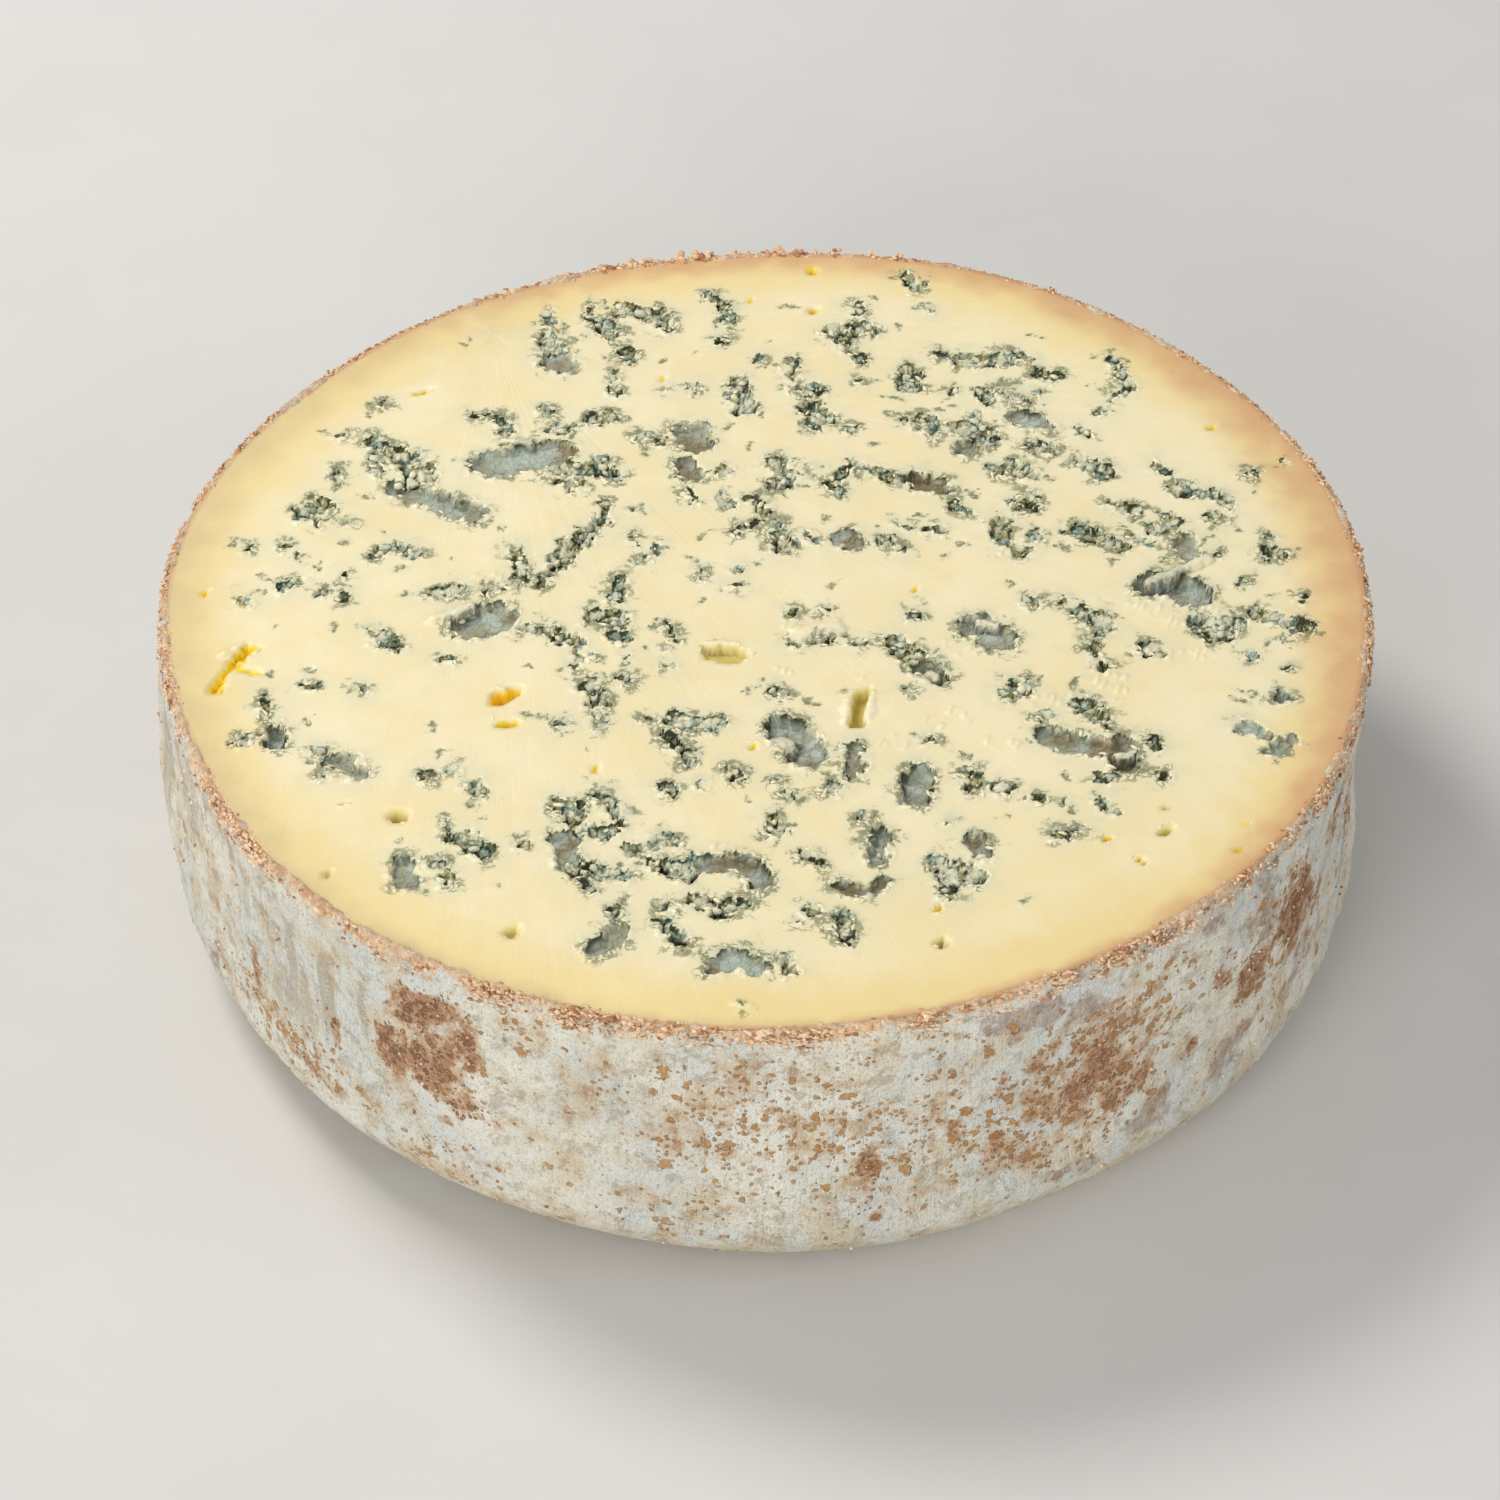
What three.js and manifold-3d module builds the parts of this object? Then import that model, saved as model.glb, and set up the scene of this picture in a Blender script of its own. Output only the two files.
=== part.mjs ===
// Blue cheese: the lower half of a small natural-rind wheel, cut across and lying with its cut face up.
// Millimetres, +Z up. The origin is under the middle of the wheel, on the surface that it stands on.
// One solid: the rind, its crumbly rim and the mould pockets of the cut face are all relief in it.
import * as THREE from 'three';
import { mergeVertices } from 'three/addons/utils/BufferGeometryUtils.js';
import Module from 'manifold-3d';

// Driving dimensions
const WHEEL_RADIUS = 99.9;
const FACE_HEIGHT = 56;
const FOOT_ROUNDING = 14;
const LIP_HEIGHT = 2.6;
const LIP_BEVEL = 1.7;
const SEGMENTS = 96;
const FOOT_STEPS = 4;
const SIDE_STEPS = 3;

// How far the hand-pressed wheel is from a circle, as [waves round the wheel, size, angle of a crest]
const OUT_OF_ROUND = [
  [2, 0.64, 0.94],
  [3, 0.57, 0.66],
  [4, 0.39, 1.15],
  [7, 0.35, 0.3],
];
const RIND_SWELLS = [
  [5, 0.35, 0.21],
  [9, 0.28, 0.08],
  [13, 0.2, 0.15],
];
const LEFT_BULGE = 1;
const LEFT_BULGE_ANGLE = 3.36;
const RIGHT_HOLLOW = 1.1;
const FOOT_TUCK = 1.9;
const FOOT_TUCK_ANGLE = 3.97;

// Crumbs of crust along the rim, larger where the far edge tore
const CRUMB_COUNT = 84;
const CRUMB_RADIUS = [0.9, 1.6];
const TORN_EDGE_ANGLE = 1.83;
const TORN_EDGE_SPREAD = 0.3;
const TORN_EDGE_GROWTH = 0.5;

// Pockets are chains of lumpy hollows. Spacing and overlap are shares of the width, roughness of the radius
const POCKET_ROUGHNESS = 0.2;
const POCKET_SPACING = 1.7;
const POCKET_OVERLAP = 0.45;
const CURD_SHARE = 0.3;
const CURD_MIN_WIDTH = 6;
const FLAKE_RADIUS = 1.1;

// The larger mould pockets of the cut face as [width, depth, then x and y of each point that the vein passes]
const VEINS = [
  [7.5, 3.2, -46.5, 38.2, -36, 41.2],
  [6, 2.6, -35, 36.5, -28, 37],
  [5, 2.6, -38.5, 73.5, -37, 71],
  [6, 2.8, -37, 68, -35.5, 66],
  [4.5, 2.2, -25.5, 81.5, -19, 80.5],
  [5, 2.4, -28.5, 77.5, -27, 75],
  [4.5, 2.4, -30, 50, -27, 51],
  [4.5, 2, -5, 60, -4, 53.5],
  [6.5, 3, -13, 46.5, -12.5, 44],
  [4.5, 2.6, -13.5, 37.5, -12.8, 36],
  [6, 2.2, -60, 39, -59, 35],
  [5, 3, -61.5, 31, -54, 28, -49, 25],
  [6, 2.8, -77.5, 24.5, -75, 26],
  [4.5, 2.2, -61.5, 15.5, -58.5, 13.5],
  [5, 3, -28, 22.5, -34, 12.5],
  [4, 2.8, -36, 8, -37, 5.5],
  [4, 2, 25.5, 90.5, 27, 88],
  [5, 2.6, 11.5, 75.5, 15, 77],
  [4.5, 2.6, 13, 73, 13.5, 70.5],
  [4.5, 2.2, 5.5, 59.5, 8, 58],
  [4.5, 2.4, 7.5, 53, 10, 50.5],
  [4.5, 2.4, 24.5, 64, 24.8, 59.5],
  [5, 2.2, 33.5, 67.5, 40, 67.5],
  [6, 2.6, 43.5, 50.5, 46.5, 49],
  [6.5, 3, 34.5, 48.5, 34.5, 43],
  [4.5, 2.2, 53.5, 38.5, 56.5, 35.5],
  [5, 2, 69.5, 31.5],
  [4.5, 2.6, 51.5, 19, 58, 16.5],
  [5, 2.6, 69.5, 17, 70, 14.5],
  [7, 4, 64, 6, 70, 5],
  [4.5, 1.8, 47, 42],
  [4.5, 2.2, 42, 37, 43.5, 35],
  [5, 2.6, 38, 22, 41.5, 15.5],
  [5, 4, 23.5, 33.5, 28.5, 32],
  [4.5, 2, 2, 38, 2.5, 34],
  [4.5, 2.2, 2.5, 18.5],
  [5.5, 2.2, 13.5, 18],
  [8, 3.6, -48, -4.5, -45, -3],
  [4.5, 2.2, -27.5, -2.5, -24.2, -7.2],
  [4.5, 2.6, -28.5, -20, -27.5, -23.5],
  [4, 3, -43.5, -23, -41.5, -21.5],
  [4, 5, -78.5, -31, -78.5, -34],
  [4.5, 2.6, -69, -38.5, -65, -40],
  [4.5, 3, -56.5, -63, -56, -66.5],
  [4.5, 2.4, -46.5, -57.5, -44.5, -60],
  [4, 2.2, -33, -48.5, -28.5, -55, -23.5, -53, -26, -46.5],
  [5, 2.8, -31.5, -57, -29.5, -63.5],
  [5, 3.4, -16, -62.5, -6, -62.5, -1, -66],
  [4.5, 2.8, -10, -71, -5, -72],
  [4.4, 2.8, -23.5, -78, -25.5, -81],
  [4.4, 2.4, -7.5, -85.5, -2, -86],
  [4, 2.4, -16, -32.5, -12.5, -38],
  [6.5, 2.4, -8, -11, -5.5, -12],
  [9, 2.8, 5.5, -6, 8, -5.5],
  [7, 3, 34.5, -5, 37.5, -7.5],
  [5, 2.2, 21.5, -9.5, 23.5, -12],
  [5, 3, 26.5, -16.5],
  [5, 3, 15.5, -23.5, 14.5, -28.5],
  [7, 4, 3, -31, 5.5, -34],
  [5.5, 3.6, 23.5, -42, 23.5, -46.5],
  [5, 2, 51, -25, 53, -28],
  [5.5, 3.6, 45.5, -33, 52, -34.5],
  [5, 4, 56.5, -34.5, 57, -38.5],
  [4.5, 3, 53, -10.5, 54.5, -15],
  [5.5, 3, 71.5, -4, 75, -6.5],
  [4.5, 3.6, 17.5, -56.5, 17, -60.5],
  [5, 2.6, 27, -63, 31.5, -65.5],
  [4, 2.6, 11.5, -67.5, 17.5, -67.5],
];

// Flakes of cheese that the knife left bridging a pocket, as [x, y, x, y] of the two ends
const FLAKES = [
  [62.5, 6.4, 72.5, 10.4],
  [-54.5, -3.4, -49, 0],
];

const PASTE_COLOUR = 0xf0e0b0;
const PASTE_ROUGHNESS = 0.5;

const wasm = await Module();
wasm.setup();

// A small seeded generator, so that every build is the same
function seededRandom(seed) {
  let state = seed;
  return () => {
    state = (state * 1664525 + 1013904223) % 4294967296;
    return state / 4294967296;
  };
}

const random = seededRandom(271);
const between = (low, high) => low + (high - low) * random();

// Waves round the wheel
function waves(list, angle, phase = 0) {
  return list.reduce((sum, [count, size, crest]) => sum + size * Math.cos(count * (angle - crest) + phase), 0);
}

const rimRadius = (angle) => WHEEL_RADIUS + waves(OUT_OF_ROUND, angle);

// How far the side stands out from or falls behind the rim at a height
function sideRelief(angle, height) {
  const belowRim = Math.sin(Math.PI * height / FACE_HEIGHT);
  const left = LEFT_BULGE * Math.max(0, Math.cos(angle - LEFT_BULGE_ANGLE)) ** 2;
  const right = RIGHT_HOLLOW * Math.max(0, Math.cos(angle)) ** 2;
  const tuck = FOOT_TUCK * (1 - height / FACE_HEIGHT) * Math.max(0, Math.cos(angle - FOOT_TUCK_ANGLE)) ** 4;
  return belowRim * (left - right + waves(RIND_SWELLS, angle, height / 8)) - tuck;
}

// The section of the wheel from the foot to the cut face, as [inset from the rim, height]
function section() {
  const points = [];
  for (let i = 0; i <= FOOT_STEPS; i += 1) {
    const turn = (Math.PI / 2) * (i / FOOT_STEPS);
    points.push([FOOT_ROUNDING * (1 - Math.sin(turn)), FOOT_ROUNDING * (1 - Math.cos(turn))]);
  }
  const sideTop = FACE_HEIGHT - LIP_HEIGHT;
  for (let i = 1; i <= SIDE_STEPS; i += 1) {
    points.push([0, FOOT_ROUNDING + (sideTop - FOOT_ROUNDING) * (i / SIDE_STEPS)]);
  }
  points.push([LIP_BEVEL * 0.3, FACE_HEIGHT - LIP_HEIGHT * 0.35]);
  points.push([LIP_BEVEL, FACE_HEIGHT]);
  return points;
}

// The wheel without pockets: rings of points from the foot up, closed by a point at each end
function wheelGeometry() {
  const rings = section();
  const positions = [0, 0, 0];
  for (const [inset, height] of rings) {
    for (let i = 0; i < SEGMENTS; i += 1) {
      const angle = (2 * Math.PI * i) / SEGMENTS;
      const radius = rimRadius(angle) - inset + sideRelief(angle, height);
      positions.push(radius * Math.cos(angle), radius * Math.sin(angle), height);
    }
  }
  positions.push(0, 0, FACE_HEIGHT);
  const at = (ring, i) => 1 + ring * SEGMENTS + (i % SEGMENTS);
  const middle = 1 + rings.length * SEGMENTS;
  const index = [];
  for (let i = 0; i < SEGMENTS; i += 1) {
    index.push(0, at(0, i + 1), at(0, i));
    for (let ring = 0; ring < rings.length - 1; ring += 1) {
      index.push(at(ring, i), at(ring, i + 1), at(ring + 1, i + 1));
      index.push(at(ring, i), at(ring + 1, i + 1), at(ring + 1, i));
    }
    index.push(at(rings.length - 1, i), at(rings.length - 1, i + 1), middle);
  }
  const geometry = new THREE.BufferGeometry();
  geometry.setAttribute('position', new THREE.Float32BufferAttribute(positions, 3));
  geometry.setIndex(index);
  return geometry;
}

// A lumpy ball with its own radius along each axis: the form of a hollow, a curd and a crumb
function lumpGeometry(centre, radii, turn, detail, roughness) {
  const geometry = new THREE.IcosahedronGeometry(1, detail);
  geometry.deleteAttribute('normal');
  geometry.deleteAttribute('uv');
  const merged = mergeVertices(geometry, 1e-4);
  const position = merged.getAttribute('position');
  const point = new THREE.Vector3();
  const upright = new THREE.Vector3(0, 0, 1);
  for (let i = 0; i < position.count; i += 1) {
    point.fromBufferAttribute(position, i).multiplyScalar(1 + roughness * between(-1, 1));
    point.multiply(radii).applyAxisAngle(upright, turn).add(centre);
    position.setXYZ(i, point.x, point.y, point.z);
  }
  return merged;
}

function toSolid(geometry) {
  const vertProperties = new Float32Array(geometry.getAttribute('position').array);
  const triVerts = new Uint32Array(geometry.getIndex().array);
  return new wasm.Manifold(new wasm.Mesh({ numProp: 3, vertProperties, triVerts }));
}

function toGeometry(solid) {
  const mesh = solid.getMesh();
  const geometry = new THREE.BufferGeometry();
  geometry.setAttribute('position', new THREE.BufferAttribute(mesh.vertProperties, 3));
  geometry.setIndex(new THREE.BufferAttribute(mesh.triVerts, 1));
  geometry.computeVertexNormals();
  return geometry;
}

const join = (solids) => solids.reduce((whole, solid) => whole.add(solid));

// One lump from a stretch of a vein, long enough to run into the next
function veinLump(from, to, width, depth) {
  const along = from.distanceTo(to) / 2 + width * POCKET_OVERLAP;
  const across = (width / 2) * between(0.85, 1.15);
  const turn = Math.atan2(to.y - from.y, to.x - from.x);
  const centre = from.clone().lerp(to, 0.5);
  const radii = new THREE.Vector3(along, across, depth * between(0.85, 1.1));
  return toSolid(lumpGeometry(centre, radii, turn, 1, POCKET_ROUGHNESS));
}

// The hollows of one vein, joined
function pocket([width, depth, ...coordinates]) {
  const corners = [];
  for (let i = 0; i < coordinates.length; i += 2) {
    corners.push(new THREE.Vector3(coordinates[i], coordinates[i + 1], FACE_HEIGHT));
  }
  const lumps = corners.length > 1 ? [] : [veinLump(corners[0], corners[0], width, depth)];
  for (let i = 1; i < corners.length; i += 1) {
    const [start, end] = [corners[i - 1], corners[i]];
    const parts = Math.max(1, Math.round(start.distanceTo(end) / (width * POCKET_SPACING)));
    for (let part = 0; part < parts; part += 1) {
      const from = start.clone().lerp(end, part / parts);
      lumps.push(veinLump(from, start.clone().lerp(end, (part + 1) / parts), width, depth));
    }
  }
  return join(lumps);
}

// A curd of cheese that stands on the floor of each wide pocket
function curds() {
  return VEINS.filter(([width]) => width >= CURD_MIN_WIDTH).map(([width, depth, x, y]) => {
    const reach = width * CURD_SHARE;
    const foot = new THREE.Vector3(x - reach * 0.4, y - reach * 0.2, FACE_HEIGHT - depth * 0.8);
    const radii = new THREE.Vector3(reach, reach * 0.8, depth * 0.6);
    return toSolid(lumpGeometry(foot, radii, between(0, Math.PI), 1, POCKET_ROUGHNESS / 2));
  });
}

// A bent flake lies from one lip of its pocket to the other, just under the cut face
function flake([fromX, fromY, toX, toY]) {
  const from = new THREE.Vector3(fromX, fromY, FACE_HEIGHT - FLAKE_RADIUS);
  const to = new THREE.Vector3(toX, toY, FACE_HEIGHT - FLAKE_RADIUS);
  const turn = Math.atan2(toY - fromY, toX - fromX);
  const steps = Math.round(from.distanceTo(to) / (1.6 * FLAKE_RADIUS));
  const lumps = [];
  for (let i = 0; i <= steps; i += 1) {
    const radii = new THREE.Vector3(1.5 * FLAKE_RADIUS, FLAKE_RADIUS, 0.8 * FLAKE_RADIUS);
    lumps.push(toSolid(lumpGeometry(from.clone().lerp(to, i / steps), radii, turn, 0, POCKET_ROUGHNESS)));
  }
  return join(lumps);
}

// Crumbs of crust sunk by half into the lip, spread evenly with a random shift
function crumbs() {
  const list = [];
  for (let i = 0; i < CRUMB_COUNT; i += 1) {
    const angle = (2 * Math.PI * (i + between(-0.4, 0.4))) / CRUMB_COUNT;
    const torn = Math.exp(-(((angle - TORN_EDGE_ANGLE) / TORN_EDGE_SPREAD) ** 2));
    const reach = between(...CRUMB_RADIUS) * (1 + TORN_EDGE_GROWTH * torn);
    const radius = rimRadius(angle) - reach * 0.6;
    const height = FACE_HEIGHT - between(0.6, 1.2) * reach;
    const centre = new THREE.Vector3(radius * Math.cos(angle), radius * Math.sin(angle), height);
    const radii = new THREE.Vector3(reach * 0.9, reach * 1.2, reach * 0.8);
    list.push(toSolid(lumpGeometry(centre, radii, angle, 0, POCKET_ROUGHNESS)));
  }
  return list;
}

// The middle of the smooth outline, which goes over the origin
function outlineMiddle() {
  const box = new THREE.Box2();
  const steps = 8 * SEGMENTS;
  for (let i = 0; i < steps; i += 1) {
    const angle = (2 * Math.PI * i) / steps;
    box.expandByPoint(new THREE.Vector2(Math.cos(angle), Math.sin(angle)).multiplyScalar(rimRadius(angle)));
  }
  return box.getCenter(new THREE.Vector2());
}

// The wheel, less its pockets, with the curds, flakes and crumbs fused on. A loose scrap would be dropped
function cheeseSolid() {
  const hollowed = toSolid(wheelGeometry()).subtract(join(VEINS.map(pocket)));
  const whole = hollowed.add(join([...curds(), ...FLAKES.map(flake), ...crumbs()]));
  const bodies = whole.decompose().sort((a, b) => b.volume() - a.volume());
  return bodies[0];
}

const middle = outlineMiddle();
const geometry = toGeometry(cheeseSolid());
geometry.translate(-middle.x, -middle.y, 0);

const paste = new THREE.MeshStandardMaterial({
  color: PASTE_COLOUR,
  roughness: PASTE_ROUGHNESS,
  metalness: 0,
});
const cheese = new THREE.Mesh(geometry, paste);
cheese.name = 'blue_cheese';

const model = new THREE.Group();
model.add(cheese);

export default model;
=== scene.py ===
# %% [markdown]
# # Half a wheel of blue cheese
#
# This lesson dresses the lower half of a natural-rind blue cheese. The wheel was cut across at mid-height
# and lies with its cut face up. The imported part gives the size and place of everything. It is one solid,
# because a cheese is one piece of food, and two modelled skins stand for it here: the paste with its mould,
# and the rind. Grains and crumbs that are too fine for the solid are added as meshes of their own.

# %% Load the fixed frame
import itertools
import math

import bpy
import numpy as np
from mathutils import Matrix, Vector


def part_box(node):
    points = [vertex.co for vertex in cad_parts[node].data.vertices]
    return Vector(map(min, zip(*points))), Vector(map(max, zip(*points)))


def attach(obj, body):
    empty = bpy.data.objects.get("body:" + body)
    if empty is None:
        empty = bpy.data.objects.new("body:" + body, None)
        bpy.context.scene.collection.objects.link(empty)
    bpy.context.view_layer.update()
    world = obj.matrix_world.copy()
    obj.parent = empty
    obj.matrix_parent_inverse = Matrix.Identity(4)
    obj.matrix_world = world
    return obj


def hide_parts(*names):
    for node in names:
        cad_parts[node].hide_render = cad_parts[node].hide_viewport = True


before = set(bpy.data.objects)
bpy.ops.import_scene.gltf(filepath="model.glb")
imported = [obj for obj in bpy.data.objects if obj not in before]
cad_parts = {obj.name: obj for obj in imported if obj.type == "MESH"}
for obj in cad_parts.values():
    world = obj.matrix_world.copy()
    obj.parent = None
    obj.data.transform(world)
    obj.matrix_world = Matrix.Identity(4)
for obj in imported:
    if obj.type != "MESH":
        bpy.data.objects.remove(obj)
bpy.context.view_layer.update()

NODE = "blue_cheese"
MM = 0.001
box_low, box_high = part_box(NODE)
print("box of the solid, mm:", [round(side / MM, 1) for side in box_high - box_low])

# %% [markdown]
# ## The wheel's own sizes
#
# All modelling below is in millimetres and is turned into metres only when a mesh is made. A wheel that was
# pressed by hand is never a true circle, so its rim is a circle plus a few long waves. Sine waves were
# chosen over a traced outline because each one has a meaning: how many bulges there are, how high, and
# where.

# %% Sizes of the wheel
WHEEL_RADIUS = 99.9
FACE_HEIGHT = 56.0
FOOT_ROUNDING = 14.0
OUT_OF_ROUND = ((2, 0.64, 0.94), (3, 0.57, 0.66), (4, 0.39, 1.15), (7, 0.35, 0.3))
RIND_SWELLS = ((5, 0.35, 0.21), (9, 0.28, 0.08), (13, 0.2, 0.15))
LEFT_BULGE, LEFT_BULGE_ANGLE, RIGHT_HOLLOW = 1.0, 3.36, 1.1
FOOT_TUCK, FOOT_TUCK_ANGLE = 1.9, 3.97


def waves(parts, angle, phase=0.0):
    """Waves round the wheel, each given as its count, its size and the angle of a crest."""
    return sum(size * np.cos(count * (angle - crest) + phase) for count, size, crest in parts)


def rim_radius(angle):
    return WHEEL_RADIUS + waves(OUT_OF_ROUND, angle)


def round_wheel(angle, radius, height):
    """Points from their angle round the wheel, their distance from its axis and their height."""
    return np.stack([radius * np.cos(angle), radius * np.sin(angle), height], axis=-1)


def side_relief(angle, height):
    """How far the side stands out from the rim at a height, as the solid has it."""
    below_rim = np.sin(np.pi * height / FACE_HEIGHT)
    left = LEFT_BULGE * np.maximum(0, np.cos(angle - LEFT_BULGE_ANGLE)) ** 2
    right = RIGHT_HOLLOW * np.maximum(0, np.cos(angle)) ** 2
    tuck = FOOT_TUCK * (1 - height / FACE_HEIGHT) * np.maximum(0, np.cos(angle - FOOT_TUCK_ANGLE)) ** 4
    return below_rim * (left - right + waves(RIND_SWELLS, angle, height / 8)) - tuck


turn = np.linspace(0, 2 * np.pi, 720, endpoint=False)
rim = round_wheel(turn, rim_radius(turn), 0 * turn)[:, :2]
MIDDLE = (rim.min(axis=0) + rim.max(axis=0)) / 2
print("the rim's middle is off the wheel's axis by", MIDDLE.round(2), "mm")

# %% [markdown]
# ## Random fields
#
# Mould, crumbs and rind are all random, but never evenly so: they have sizes. Two kinds of field give
# nearly everything. A smooth field rises and falls about once over a given distance, and several of them at
# halved sizes make a natural ragged edge. A field of cells puts one point in each cell of a lattice and
# measures the distance to the nearest, which gives rounded grains with creases between them. Writing both
# in NumPy keeps hundreds of thousands of points quick, and a seed makes every run the same.

# %% Smooth fields and cells
FAR = 99.0


def smoothstep(value, low, high):
    part = np.clip((value - low) / (high - low), 0, 1)
    return part * part * (3 - 2 * part)


class Field:
    """Random fields over points in millimetres."""

    def __init__(self, seed):
        draw = np.random.default_rng(seed)
        self.order = draw.permutation(256)
        slopes = draw.normal(size=(256, 3))
        self.slopes = slopes / np.linalg.norm(slopes, axis=1)[:, None]
        self.spots = draw.random((256, 3))
        self.tones = draw.random(256)

    def pick(self, cell):
        """A number from 0 to 255 for each cell of the lattice."""
        x, y, z = (cell[:, axis] & 255 for axis in range(3))
        return self.order[(self.order[(self.order[x] + y) & 255] + z) & 255]

    def smooth(self, points, size):
        """Rises and falls about once every size, between about -1 and 1."""
        scaled = points / size
        home = np.floor(scaled).astype(int)
        part = scaled - home
        fade = part**3 * (part * (part * 6 - 15) + 10)
        total = np.zeros(len(points))
        for corner in itertools.product((0, 1), repeat=3):
            share = np.prod(np.where(corner, fade, 1 - fade), axis=1)
            total += share * ((part - corner) * self.slopes[self.pick(home + corner)]).sum(1)
        return 1.7 * total

    def layered(self, points, size, layers=4, keep=0.5):
        """Smooth fields at halved sizes, each weaker than the last."""
        return sum(keep**i * self.smooth(points + 17.3 * i, size / 2**i) for i in range(layers))

    def cells(self, points, size, depth_too=True):
        """Distances to the nearest and the second nearest scattered point, in sizes, and a tone."""
        scaled = points / size
        home = np.floor(scaled).astype(int)
        near, second, tone = np.full(len(points), FAR), np.full(len(points), FAR), np.zeros(len(points))
        sides = (-1, 0, 1)
        for step in itertools.product(sides, sides, sides if depth_too else (0,)):
            cell = home + step
            pick = self.pick(cell)
            gap = scaled - cell - self.spots[pick]
            if not depth_too:
                gap[:, 2] = 0
            distance = np.linalg.norm(gap, axis=1)
            closer = distance < near
            second = np.where(closer, near, np.minimum(second, distance))
            tone = np.where(closer, self.tones[pick], tone)
            near = np.where(closer, distance, near)
        return near, second, tone

    def grains(self, points, size, depth_too=True):
        """Packed grains from 0 in the thin creases between them to 1 on the tallest tops."""
        near, second, tone = self.cells(points, size, depth_too)
        return np.sqrt(np.clip((second - near) / 0.6, 0, 1)) * (0.35 + 0.65 * tone)
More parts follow.
